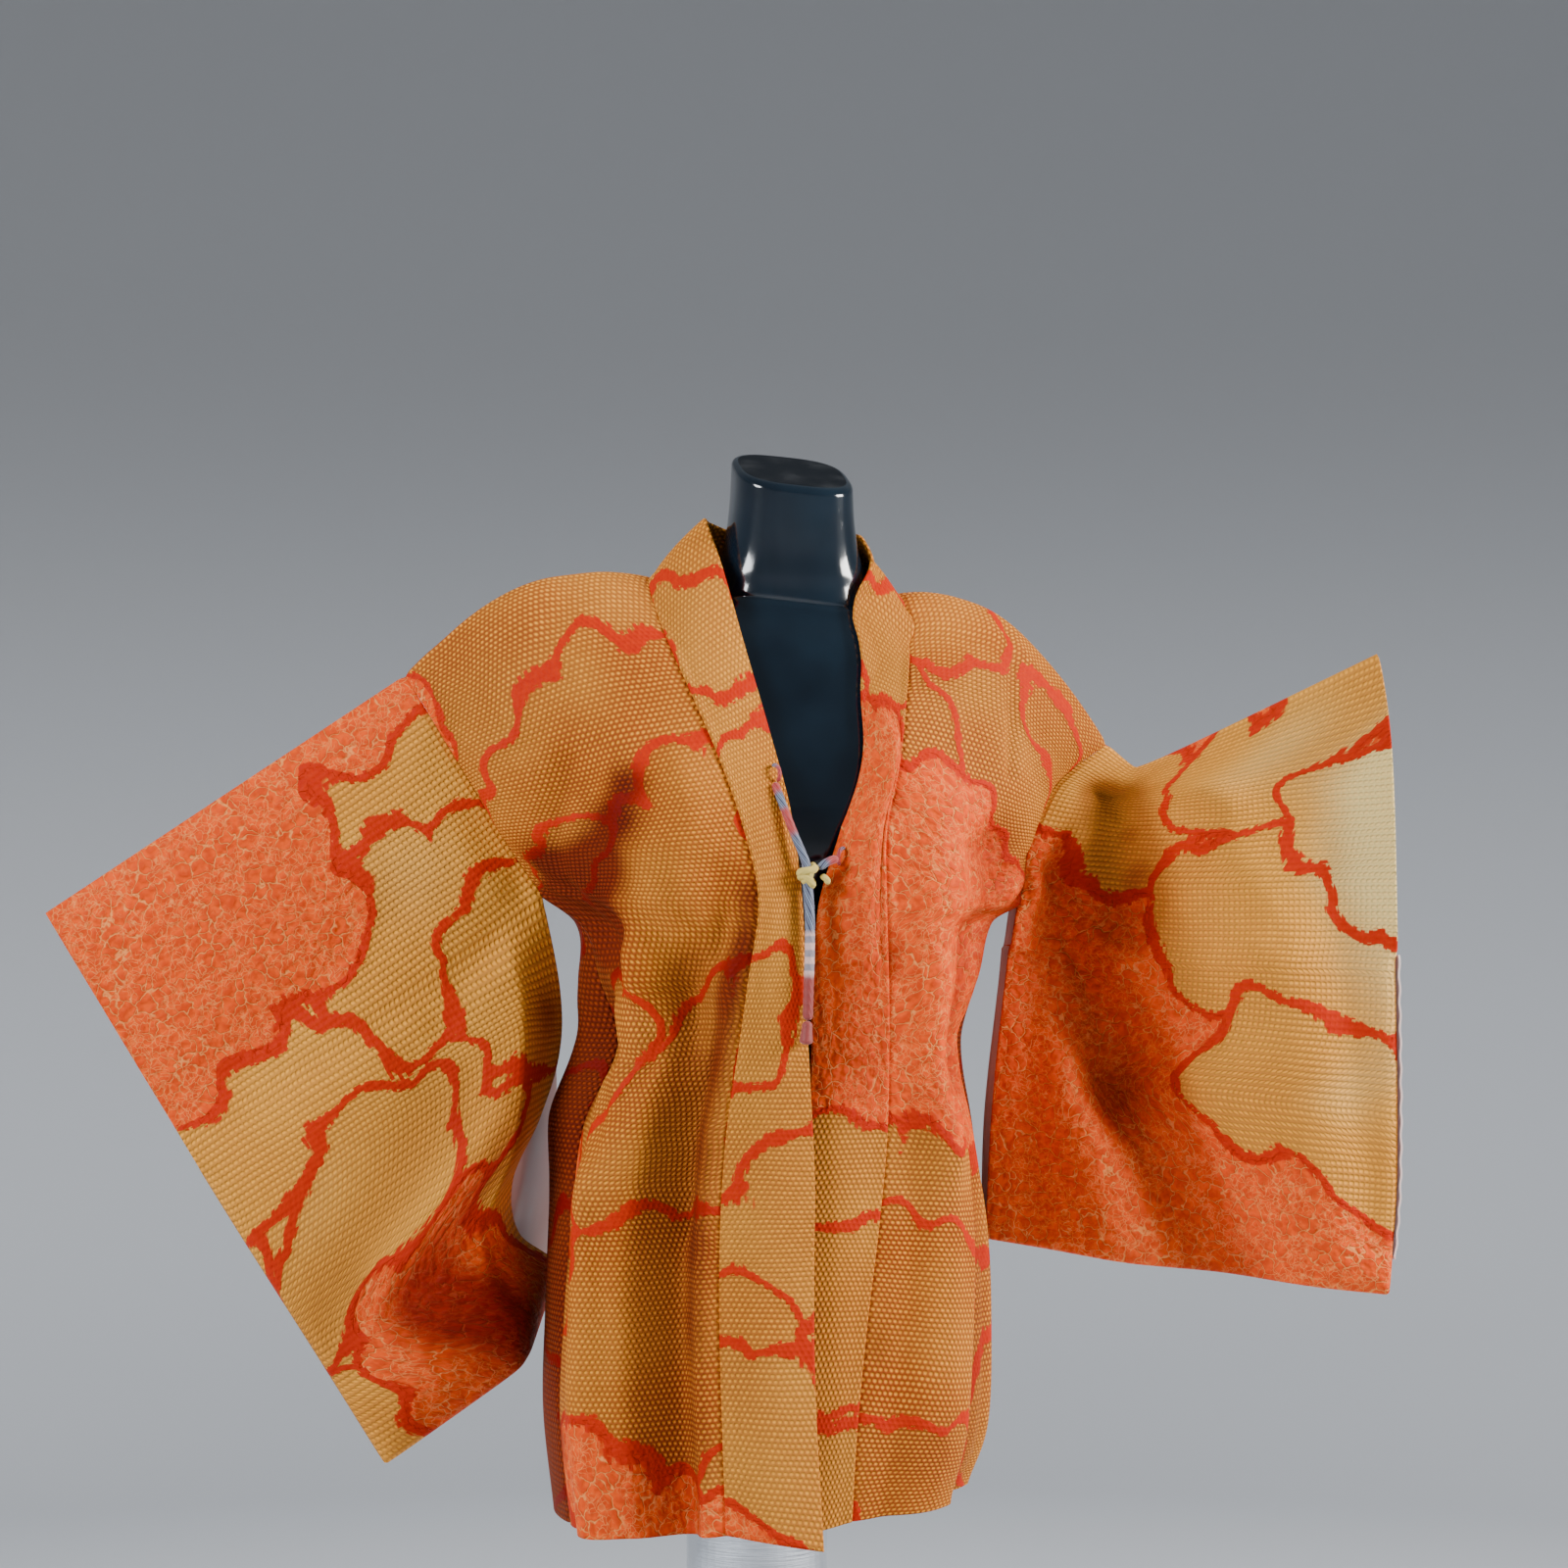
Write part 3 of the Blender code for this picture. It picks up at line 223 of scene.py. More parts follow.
# Folded edge of the collar: share of length, x, y, z
FREE_RIGHT = [
    (-0.12, 0.027, 0.070, 1.392),
    (-0.08, -0.008, 0.062, 1.400),
    (-0.04, -0.031, 0.040, 1.406),
    (0.00, -0.038, 0.012, 1.405),
    (0.06, -0.033, -0.036, 1.365),
    (0.14, -0.020, -0.070, 1.299),
    (0.22, -0.005, -0.098, 1.230),
    (0.30, 0.006, -0.120, 1.173),
    (0.37, 0.012, -0.134, 1.106),
    (0.45, 0.013, -0.142, 1.044),
    (0.55, 0.017, -0.144, 0.968),
    (0.65, 0.020, -0.146, 0.893),
    (0.76, 0.019, -0.148, 0.817),
    (0.87, 0.020, -0.150, 0.729),
    (1.00, 0.026, -0.152, 0.615),
]
FREE_LEFT = [
    (-0.12, 0.027, 0.070, 1.392),
    (-0.08, 0.058, 0.061, 1.394),
    (-0.04, 0.072, 0.040, 1.395),
    (0.00, 0.074, 0.012, 1.394),
    (0.06, 0.067, -0.036, 1.343),
    (0.14, 0.066, -0.068, 1.280),
    (0.22, 0.066, -0.094, 1.219),
    (0.30, 0.045, -0.116, 1.158),
    (0.37, 0.027, -0.126, 1.106),
    (0.45, 0.021, -0.128, 1.044),
    (0.55, 0.019, -0.129, 0.967),
    (0.65, 0.010, -0.131, 0.892),
    (0.76, 0.003, -0.133, 0.816),
    (0.87, -0.002, -0.135, 0.727),
    (1.00, -0.005, -0.136, 0.622),
]

# Open inner edge of each sleeve below the underarm: share of depth, x, y, z
FURI_RIGHT_FRONT = [
    (0.40, -0.173, -0.012, 1.110),
    (0.50, -0.156, 0.016, 1.033),
    (0.60, -0.156, 0.022, 0.982),
    (0.70, -0.173, 0.012, 0.931),
    (0.78, -0.196, -0.006, 0.885),
    (0.86, -0.186, 0.042, 0.838),
    (0.93, -0.150, 0.100, 0.806),
    (1.00, -0.145, 0.160, 0.770),
]
FURI_RIGHT_BACK = [
    (0.40, -0.173, 0.014, 1.110),
    (0.50, -0.158, 0.052, 1.040),
    (0.60, -0.152, 0.082, 0.985),
    (0.70, -0.149, 0.106, 0.930),
    (0.78, -0.149, 0.126, 0.882),
    (0.86, -0.148, 0.146, 0.836),
    (0.93, -0.150, 0.164, 0.800),
    (1.00, -0.153, 0.184, 0.770),
]
FURI_LEFT_FRONT = [
    (0.40, 0.210, -0.012, 1.102),
    (0.60, 0.199, -0.006, 1.020),
    (0.80, 0.192, 0.004, 0.925),
    (1.00, 0.189, 0.012, 0.829),
]
FURI_LEFT_BACK = [
    (0.40, 0.210, 0.014, 1.102),
    (0.60, 0.202, 0.028, 1.020),
    (0.80, 0.194, 0.038, 0.925),
    (1.00, 0.191, 0.036, 0.829),
]

# Cuff edge of each sleeve: share of depth, x, y, z
CUFF_RIGHT = [
    (0.00, -0.555, 0.026, 1.095),
    (0.50, -0.426, 0.022, 0.878),
    (1.00, -0.293, 0.026, 0.662),
]
CUFF_LEFT = [
    (0.00, 0.481, -0.100, 1.298),
    (0.15, 0.489, -0.103, 1.223),
    (0.42, 0.493, -0.104, 1.087),
    (0.80, 0.495, -0.104, 0.886),
    (1.00, 0.489, -0.100, 0.793),
]

# Bend of the sleeve's rows away from straight: share of depth, place of the bend, dx, dy, dz
BEND_RIGHT_FRONT = [
    (0.00, 0.30, 0.000, 0.000, 0.000),
    (0.40, 0.12, 0.000, -0.004, 0.000),
    (0.46, 0.14, 0.004, -0.030, 0.010),
    (0.55, 0.18, 0.010, -0.050, 0.028),
    (0.70, 0.28, 0.034, -0.050, 0.026),
    (0.78, 0.24, 0.018, -0.032, 0.008),
    (0.86, 0.40, 0.031, -0.060, 0.022),
    (0.93, 0.50, 0.037, -0.072, 0.023),
    (1.00, 0.55, 0.048, -0.070, 0.025),
]
BEND_RIGHT_BACK = [
    (0.00, 0.30, 0.000, 0.000, 0.000),
    (0.40, 0.12, 0.000, 0.002, 0.000),
    (0.46, 0.14, 0.004, -0.024, 0.010),
    (0.55, 0.18, 0.010, -0.046, 0.026),
    (0.70, 0.28, 0.028, -0.072, 0.026),
    (0.78, 0.30, 0.016, -0.078, 0.012),
    (0.86, 0.40, 0.018, -0.072, 0.020),
    (0.93, 0.50, 0.034, -0.060, 0.023),
    (1.00, 0.55, 0.048, -0.058, 0.025),
]
BEND_LEFT_FRONT = [
    (0.00, 0.16, -0.008, 0.006, -0.034),
    (0.08, 0.20, -0.006, 0.010, -0.030),
    (0.25, 0.30, 0.000, 0.016, -0.012),
    (0.45, 0.36, 0.000, 0.010, -0.006),
    (0.70, 0.40, 0.000, 0.004, -0.004),
    (1.00, 0.40, 0.000, 0.004, -0.004),
]

# Large folds of the solids: share across and along at both ends, half width, depth (outward positive)
FOLDS_BODY_RIGHT = [
    (0.12, 0.24, 0.70, 0.52, 0.034, 0.014),
    (0.22, 0.46, 0.60, 0.68, 0.030, 0.012),
    (0.32, 0.46, 0.26, 0.98, 0.036, -0.034),
    (0.50, 0.36, 0.84, 0.42, 0.032, -0.010),
    (0.70, 0.66, 0.64, 1.00, 0.036, 0.014),
    (0.50, 0.05, 0.80, 0.26, 0.044, 0.006),
    (0.30, -0.34, 0.56, -0.95, 0.044, -0.022),
    (0.58, -0.44, 0.60, -1.00, 0.036, 0.010),
    (0.14, -0.50, 0.20, -1.00, 0.036, 0.014),
]
FOLDS_BODY_LEFT = [
    (0.22, 0.26, 0.30, 0.60, 0.032, 0.014),
    (0.60, 0.30, 0.72, 0.54, 0.034, -0.018),
    (0.46, 0.03, 0.52, 0.18, 0.024, 0.006),
    (0.30, 0.64, 0.32, 1.00, 0.040, 0.012),
    (0.68, 0.66, 0.62, 0.98, 0.036, -0.014),
    (0.30, -0.34, 0.56, -0.95, 0.044, -0.022),
    (0.66, -0.44, 0.80, -1.00, 0.036, 0.012),
    (0.14, -0.50, 0.20, -1.00, 0.036, 0.014),
]
FOLDS_SLEEVE_RIGHT = [
    (0.10, 0.30, 0.85, 0.52, 0.050, 0.008),
    (0.45, 0.58, 0.95, 0.80, 0.050, -0.008),
    (0.60, 0.86, 0.95, 0.98, 0.045, 0.008),
]
FOLDS_SLEEVE_LEFT = [
    (0.05, 0.36, 0.34, 0.70, 0.036, -0.034),
    (0.34, 0.70, 0.62, 0.98, 0.042, -0.020),
    (0.20, 0.16, 0.32, 0.40, 0.036, -0.026),
    (0.46, 0.16, 0.64, 0.44, 0.044, 0.014),
    (0.68, 0.50, 0.82, 0.98, 0.050, 0.014),
    (0.20, 0.70, 0.32, 1.00, 0.034, 0.012),
]
FOLDS_COLLAR_LEFT = [
    (0.40, 0.20, 0.40, 0.42, 0.016, 0.008),
]

# Gusset: share of length, how far its middle stands out
BULGE_RIGHT = [
    (0.37, 0.000), (0.41, 0.003), (0.45, 0.013), (0.48, 0.023), (0.52, 0.030),
    (0.58, 0.026), (0.66, 0.015), (0.80, 0.009), (1.00, 0.006),
]
BULGE_LEFT = [(0.37, 0.000), (0.44, 0.005), (0.52, 0.009), (0.60, 0.008), (0.80, 0.005), (1.00, 0.003)]

# Small creases that only the cloth has, same columns
CREASES_BODY_RIGHT = [
    (0.30, 0.19, 0.58, 0.44, 0.020, 0.008),
    (0.50, 0.19, 0.78, 0.38, 0.011, -0.006),
    (0.16, 0.34, 0.24, 0.70, 0.015, -0.006),
    (0.98, 0.30, 0.62, 0.40, 0.012, -0.005),
    (0.98, 0.34, 0.52, 0.50, 0.012, -0.006),
    (0.96, 0.37, 0.60, 0.60, 0.012, 0.004),
    (0.93, 0.47, 0.60, 0.44, 0.010, -0.004),
    (0.93, 0.51, 0.55, 0.53, 0.011, -0.005),
    (0.86, 0.55, 0.62, 0.66, 0.013, 0.004),
    (0.45, 0.22, 0.40, 0.60, 0.016, -0.004),
    (0.60, 0.70, 0.50, 1.00, 0.014, -0.005),
    (0.86, 0.70, 0.84, 1.00, 0.012, -0.004),
    (0.08, 0.60, 0.10, 1.00, 0.012, 0.004),
    (0.34, 0.02, 0.56, 0.16, 0.016, -0.003),
    (0.72, 0.02, 0.62, 0.16, 0.014, -0.003),
    (0.40, -0.20, 0.70, -0.42, 0.016, -0.005),
    (0.44, -0.55, 0.42, -1.00, 0.018, -0.006),
]
CREASES_BODY_LEFT = [
    (0.97, 0.30, 0.66, 0.34, 0.012, -0.004),
    (0.97, 0.34, 0.56, 0.46, 0.012, -0.005),
    (0.94, 0.38, 0.58, 0.58, 0.012, 0.004),
    (0.92, 0.50, 0.60, 0.52, 0.010, -0.004),
    (0.46, 0.02, 0.53, 0.19, 0.008, -0.005),
    (0.42, 0.30, 0.46, 0.60, 0.014, -0.004),
    (0.16, 0.62, 0.14, 1.00, 0.014, -0.004),
    (0.50, 0.62, 0.46, 1.00, 0.016, 0.005),
    (0.84, 0.66, 0.80, 0.98, 0.012, -0.004),
    (0.40, -0.20, 0.70, -0.42, 0.016, -0.005),
    (0.44, -0.55, 0.42, -1.00, 0.018, -0.006),
]
CREASES_SLEEVE_RIGHT = [
    (0.02, 0.38, 0.34, 0.46, 0.014, -0.004),
    (0.04, 0.36, 0.30, 0.20, 0.014, 0.003),
    (0.30, 0.30, 0.95, 0.36, 0.022, -0.003),
    (0.30, 0.66, 0.70, 0.74, 0.016, 0.003),
    (0.24, 0.80, 0.50, 0.98, 0.012, -0.004),
    (0.86, 0.10, 0.98, 0.60, 0.022, 0.003),
]
CREASES_SLEEVE_LEFT = [
    (0.04, 0.34, 0.22, 0.24, 0.014, 0.005),
    (0.04, 0.37, 0.30, 0.50, 0.012, 0.006),
    (0.06, 0.40, 0.28, 0.66, 0.014, 0.008),
    (0.12, 0.13, 0.32, 0.24, 0.020, -0.002),
    (0.30, 0.10, 0.52, 0.20, 0.018, 0.004),
    (0.40, 0.30, 0.66, 0.44, 0.018, -0.004),
    (0.08, 0.60, 0.14, 0.96, 0.014, -0.004),
    (0.50, 0.66, 0.66, 0.94, 0.018, 0.004),
    (0.84, 0.30, 0.94, 0.90, 0.020, -0.004),
]

# Form sections: z, centre x, centre y, half width, front depth, back depth, squareness, slope
FORM = [
    (0.644, 0.010, 0.000, 0.128, 0.078, 0.088, 2.3, 0.00),
    (0.652, 0.010, 0.000, 0.139, 0.085, 0.096, 2.3, 0.00),
    (0.720, 0.010, 0.000, 0.150, 0.092, 0.105, 2.3, 0.00),
    (0.800, 0.010, 0.000, 0.153, 0.094, 0.110, 2.3, 0.00),
    (0.880, 0.013, 0.000, 0.142, 0.090, 0.100, 2.3, 0.00),
    (0.940, 0.017, 0.000, 0.127, 0.085, 0.083, 2.3, 0.00),
    (0.990, 0.020, 0.000, 0.117, 0.084, 0.073, 2.3, 0.00),
    (1.050, 0.022, 0.000, 0.123, 0.092, 0.073, 2.3, 0.00),
    (1.100, 0.024, 0.000, 0.133, 0.104, 0.077, 2.3, 0.00),
    (1.140, 0.025, 0.000, 0.141, 0.109, 0.081, 2.4, 0.00),
    (1.180, 0.026, 0.000, 0.147, 0.104, 0.085, 2.4, 0.00),
    (1.220, 0.027, 0.000, 0.152, 0.090, 0.086, 2.4, 0.00),
    (1.260, 0.028, 0.000, 0.158, 0.075, 0.084, 2.3, 0.00),
    (1.290, 0.029, 0.000, 0.162, 0.066, 0.078, 2.2, 0.00),
    (1.308, 0.029, 0.003, 0.160, 0.060, 0.070, 2.2, 0.00),
    (1.318, 0.029, 0.005, 0.146, 0.055, 0.060, 2.2, 0.00),
    (1.326, 0.029, 0.006, 0.116, 0.051, 0.054, 2.1, 0.00),
    (1.335, 0.029, 0.006, 0.084, 0.049, 0.051, 2.1, 0.03),
    (1.348, 0.029, 0.006, 0.067, 0.047, 0.049, 2.2, 0.06),
    (1.366, 0.029, 0.006, 0.059, 0.047, 0.049, 2.4, 0.10),
    (1.384, 0.029, 0.005, 0.053, 0.046, 0.048, 2.6, 0.16),
    (1.410, 0.029, 0.004, 0.049, 0.046, 0.047, 2.8, 0.26),
    (1.440, 0.029, 0.003, 0.047, 0.046, 0.046, 3.0, 0.36),
]

SIDES = {
    "right": {
        "inner": INNER_RIGHT, "side": SIDE_RIGHT, "free": FREE_RIGHT,
        "folds": FOLDS_BODY_RIGHT, "creases": CREASES_BODY_RIGHT, "bulge": BULGE_RIGHT,
        "furi_front": FURI_RIGHT_FRONT, "furi_back": FURI_RIGHT_BACK, "cuff": CUFF_RIGHT,
        "bend_front": BEND_RIGHT_FRONT, "bend_back": BEND_RIGHT_BACK,
        "sleeve_folds": FOLDS_SLEEVE_RIGHT, "sleeve_creases": CREASES_SLEEVE_RIGHT,
        "collar_folds": [],
    },
    "left": {
        "inner": INNER_LEFT, "side": SIDE_LEFT, "free": FREE_LEFT,
        "folds": FOLDS_BODY_LEFT, "creases": CREASES_BODY_LEFT, "bulge": BULGE_LEFT,
        "furi_front": FURI_LEFT_FRONT, "furi_back": FURI_LEFT_BACK, "cuff": CUFF_LEFT,
        "bend_front": BEND_LEFT_FRONT, "bend_back": BEND_LEFT_FRONT,
        "sleeve_folds": FOLDS_SLEEVE_LEFT, "sleeve_creases": CREASES_SLEEVE_LEFT,
        "collar_folds": FOLDS_COLLAR_LEFT,
    },
}


def curve(table, places):
    """Smooth values of a table at places in its first column, one row for each place."""
    data = np.array(table, float)
    places = np.clip(np.asarray(places, float), data[0, 0], data[-1, 0])
    low = np.clip(np.searchsorted(data[:, 0], places, side="left") - 1, 0, len(data) - 2)
    start, end = data[low], data[low + 1]
    before, after = data[np.maximum(low - 1, 0)], data[np.minimum(low + 2, len(data) - 1)]
    length = (end[..., 0] - start[..., 0])[..., None]
    share = (places[..., None] - start[..., :1]) / length
    slope_in = (end - before)[..., 1:] / (end - before)[..., :1]
    slope_out = (after - start)[..., 1:] / (after - start)[..., :1]
    square, cube = share ** 2, share ** 3
    value = (2 * cube - 3 * square + 1) * start[..., 1:] + (3 * square - 2 * cube) * end[..., 1:]
    return value + ((cube - 2 * square + share) * slope_in + (cube - square) * slope_out) * length


def arc(share):
    """Height of a quarter circle, 0 to 1."""
    share = np.clip(share, 0.0, 1.0)
    return np.sqrt(1.0 - (1.0 - share) ** 2)


def closing(depth):
    """How far a sleeve's two layers are apart near its folded edges, 0 to 1."""
    return arc(depth / SLEEVE_TOP_ROUNDING) * arc((1.0 - depth) / SLEEVE_FOOT_ROUNDING)


def ease(share):
    """Smooth step from 0 to 1."""
    share = np.clip(share, 0.0, 1.0)
    return share * share * (3.0 - 2.0 * share)


def soft_peak(share):
    """Straight rise to 1 with its top rounded off."""
    rounding = 0.012
    level = np.sqrt((1.0 - share) ** 2 + rounding)
    return 1.0 - level + (math.sqrt(1.0 + rounding) - 1.0) * (1.0 - share)


def fold_depth(folds, across, along, width, length):
    """Sum of the folds over a grid of places."""
    total = np.zeros(np.broadcast(across, along).shape)
    for across_a, along_a, across_b, along_b, half, depth in folds:
        line = np.array([(across_b - across_a) * width, (along_b - along_a) * length])
        here_across, here_along = (across - across_a) * width, (along - along_a) * length
        share = np.clip((here_across * line[0] + here_along * line[1]) / (line @ line), 0.0, 1.0)
        distance = np.hypot(here_across - share * line[0], here_along - share * line[1]) / half
        total = total + depth * np.exp(-distance ** 2)
    return total


def clear_of_form(points, clearance):
    """Points moved out of the form, away from its axis."""
    sections = curve(FORM, points[..., 2])
    centre_x, centre_y, half_width, front, back, square = [sections[..., index] for index in range(6)]
    across, along = points[..., 0] - centre_x, points[..., 1] - centre_y
    depth = np.where(along < 0, front, back)
    reach = np.maximum(np.hypot(across, along), 1e-6)
    ratio = (np.abs(across / half_width) ** square + np.abs(along / depth) ** square) ** (1.0 / square)
    scale = np.maximum(1.0, (reach / np.maximum(ratio, 1e-6) + clearance) / reach)
    scale = np.where(points[..., 2] > NECK_FREE_ABOVE, 1.0, scale)
    moved = points.copy()
    moved[..., 0] = centre_x + across * scale
    moved[..., 1] = centre_y + along * scale
    return moved


def side_edge(table, along):
    """Armhole and side seam of a panel, front for positive places and back for negative ones."""
    x, z, front, back = curve(table, np.abs(along)).T
    middle, half = (front + back) / 2.0, (back - front) / 2.0
    narrow = closing(np.abs(along) * SLEEVE_UNDERARM / UNDERARM)
    half = half * np.where(np.abs(along) < UNDERARM, narrow, 1.0)
    return np.stack([x, np.where(along >= 0, middle - half, middle + half), z], axis=-1)


def inner_edge(inner, along):
    """Collar seam, or the centre back seam below the neck, with the roundness and rise there."""
    values = np.where((along >= CENTRE_BACK_NECK)[:, None], curve(inner, along), curve(CENTRE_BACK, along))
    points = clear_of_form(values[:, :3], COLLAR_CLOTH / 2.0 + FORM_CLEARANCE)
    return points, values[:, 3], values[:, 4]


def body_points(side, across, along):
    """Grid of a body panel: across 0 at the collar or centre back seam, 1 at the side."""
    spec = SIDES[side]
    start, roundness, rise = inner_edge(spec["inner"], along)
    end = side_edge(spec["side"], along)
    angle = across[None, :] * math.pi / 2.0
    power = (2.0 / roundness)[:, None]
    share = np.sin(angle) ** power
    depth = np.maximum(np.cos(angle), 0.0) ** power
    start, end = start[:, None, :], end[:, None, :]
    points = np.empty((len(along), len(across), 3))
    points[..., 0] = start[..., 0] + (end[..., 0] - start[..., 0]) * share
    points[..., 1] = end[..., 1] + (start[..., 1] - end[..., 1]) * depth
    points[..., 2] = start[..., 2] + (end[..., 2] - start[..., 2]) * share
    points[..., 2] += rise[:, None] * 4.0 * share * (1.0 - share)
    out = points * np.array(LEVEL) - np.array(BODY_AXIS)
    upward = ease((SHOULDER_TOP - np.abs(along)) / SHOULDER_TURN)[:, None, None]
    out = out / np.linalg.norm(out, axis=-1, keepdims=True)
    out = out * (1.0 - upward) + np.array(UP) * upward
    grid_across, grid_along = np.meshgrid(across, along)
    mask = ease(grid_across / FOLD_FADE) * ease((1.0 - grid_across) / FOLD_FADE)
    relief = fold_depth(spec["folds"], grid_across, grid_along, PANEL_WIDTH, PANEL_LENGTH) * mask
    mask = ease(grid_across / CREASE_FADE) * ease((1.0 - grid_across) / CREASE_FADE)
    relief += fold_depth(spec["creases"], grid_across, grid_along, PANEL_WIDTH, PANEL_LENGTH) * mask
    points = points + out * relief[..., None]
    inside = (across > 0.0) & (across < 1.0)
    points[:, inside] = clear_of_form(points[:, inside], LAYER_GAP + FORM_CLEARANCE)
    return points, relief


def sleeve_points(side, across, depths, fronts):
    """Rings of a sleeve: front layer from the top fold down, back layer up again."""
    spec = SIDES[side]
    layers = []
    for is_front in (True, False):
        low = depths <= SLEEVE_UNDERARM
        x, z, y_front, y_back = curve(spec["side"], depths * UNDERARM / SLEEVE_UNDERARM).T
        seam = np.stack([x, y_front if is_front else y_back, z], axis=-1)
        furi = curve(spec["furi_front" if is_front else "furi_back"], depths)
        start = np.where(low[:, None], seam, furi)[:, None, :]
        end = curve(spec["cuff"], depths)[:, None, :]
        end = end + np.array([0.0, -CUFF_HALF if is_front else CUFF_HALF, 0.0])
        bend = curve(spec["bend_front" if is_front else "bend_back"], depths)
        place, offset = bend[:, :1], bend[:, None, 1:]
        tent = np.minimum(across[None, :] / place, (1.0 - across[None, :]) / (1.0 - place))
        layers.append(start + (end - start) * across[None, :, None] + offset * soft_peak(tent)[..., None])
    middle = (layers[0] + layers[1]) / 2.0
    chosen = np.where(fronts[:, None, None], layers[0], layers[1])
    grid_across, grid_depth = np.meshgrid(across, depths)
    shut = ease((grid_depth - CUFF_OPEN) / CUFF_SHUT)
    apart = closing(grid_depth) * (1.0 - shut * (1.0 - arc((1.0 - grid_across) / CUFF_ROUNDING)))
    points = middle + (chosen - middle) * apart[..., None]
    mask = np.where(grid_depth < SLEEVE_UNDERARM + 0.1, ease(grid_across / SLEEVE_FOLD_FADE), 1.0)
    relief = fold_depth(spec["sleeve_folds"], grid_across, grid_depth, SLEEVE_WIDTH, SLEEVE_DEPTH) * mask
    small = fold_depth(spec["sleeve_creases"], grid_across, grid_depth, SLEEVE_WIDTH, SLEEVE_DEPTH)
    relief = relief + small * ease(grid_across / CREASE_FADE)
    points[..., 1] -= relief
    return points, relief


def collar_points(side, across, along):
    """Grid of the folded collar: across 0 at the seam, 1 at the folded edge."""
    spec = SIDES[side]
    start = inner_edge(spec["inner"], along)[0][:, None, :]
    end = curve(spec["free"], along)[:, None, :]
    share = across[None, :, None]
    points = start + (end - start) * share
    out = (points - np.array(COLLAR_AXIS)) * np.array(LEVEL)
    out = out / np.linalg.norm(out, axis=-1, keepdims=True)
    grid_across, grid_along = np.meshgrid(across, along)
    bow = COLLAR_BOW * grid_across * (1.0 - grid_across) * (grid_across > 0)
    fold = fold_depth(spec["collar_folds"], grid_across, grid_along, BAND_WIDTH, PANEL_LENGTH)
    points = points + out * (bow + fold * ease(grid_across / COLLAR_FOLD_FADE))[..., None]
    cleared = clear_of_form(points, COLLAR_CLOTH / 2.0 + FORM_CLEARANCE)
    return np.where((grid_across > 0)[..., None], cleared, points), fold


def gusset_points(side, across, along):
    """Grid of the gusset between the side edges of the front and the back."""
    spec = SIDES[side]
    front, back = side_edge(spec["side"], along)[:, None, :], side_edge(spec["side"], -along)[:, None, :]
    share = across[None, :, None]
    points = front + (back - front) * share
    outward = -1.0 if side == "right" else 1.0
    bulge = curve(spec["bulge"], along)
    points[..., 0] += outward * bulge * 4.0 * share[..., 0] * (1.0 - share[..., 0])
    return points, np.zeros(points.shape[:2])


def grid_normals(points, ring):
    """Unit normals of a grid, from its neighbours in both directions."""
    if ring:
        down = np.roll(points, -1, axis=0) - np.roll(points, 1, axis=0)
    else:
        down = np.gradient(points, axis=0)
    normals = np.cross(np.gradient(points, axis=1), down)
    return normals / np.maximum(np.linalg.norm(normals, axis=-1, keepdims=True), 1e-12)


def cloth_lengths(points):
    """Distance along each row of a grid, from its first column."""
    steps = np.linalg.norm(np.diff(points, axis=1), axis=-1)
    return np.concatenate([np.zeros((len(points), 1)), np.cumsum(steps, axis=1)], axis=1)


def finer_near_ends(count, amount=0.5):
    """Shares from 0 to 1, closer together near both ends."""
    share = np.linspace(0.0, 1.0, count)
    return share - amount * np.sin(2.0 * math.pi * share) / (2.0 * math.pi)


def cloud_layers(clouds, across, along):
    """Distance to the nearest cloud outline, and each place's ground and tone."""
    sway_across = SWAY * np.sin(78.0 * along + 1.7 * np.sin(41.0 * across))
    sway_along = SWAY * np.sin(71.0 * across + 1.9 * np.sin(37.0 * along))
    across, along = across + sway_across, along + sway_along
    outline = np.full(across.shape, FAR_FROM_OUTLINE)
    ground = np.zeros(across.shape)
    tone = np.zeros(across.shape)
    for place, (crinkled, shade, lobes) in enumerate(clouds):
        cosine, sine = math.cos(SCALLOP_TURN * place), math.sin(SCALLOP_TURN * place)
        first_way = (across * cosine + along * sine) * math.pi / SCALLOP_WIDTH + place
        second_way = (along * cosine - across * sine) * math.pi / SCALLOP_WIDTH + 2.0 * place
        scallop = np.abs(np.sin(first_way)) + np.abs(np.sin(second_way)) - SCALLOP_MEAN
        total = np.zeros(across.shape)
        for lobe_across, lobe_along, radius in lobes:
            distance = np.hypot(across - lobe_across, along - lobe_along) - radius
            total += np.exp(-np.clip(distance, -0.1, 0.2) / LOBE_BLEND)
        reach = -np.log(total) * LOBE_BLEND - SCALLOP_DEPTH * scallop
        outline = np.where(reach < 0, -reach, np.minimum(outline, reach))
        ground = np.where(reach < 0, crinkled, ground)
        tone = np.where(reach < 0, shade, tone)
    return outline, ground, tone


def point_values(mesh, name, values):
    """One number for each point of a mesh, for its finish to read."""
    layer = mesh.attributes.new(name, "FLOAT", "POINT")
    layer.data.foreach_set("value", values.reshape(-1).astype(np.float32))


def tube_faces(rows, corners):
    """Faces of a tube made of rings of points, with both ends closed."""
    faces = []
    for row in range(rows - 1):
        low, high = row * corners, (row + 1) * corners
        for corner in range(corners):
            after = (corner + 1) % corners
            faces.append((low + corner, low + after, high + after, high + corner))
    faces.append(tuple(range(corners - 1, -1, -1)))
    faces.append(tuple(range((rows - 1) * corners, rows * corners)))
    return faces


def linked_object(name, data):
    """A new object in the scene for a mesh, camera or light."""
    made = bpy.data.objects.new(name, data)
    bpy.context.scene.collection.objects.link(made)
    return made


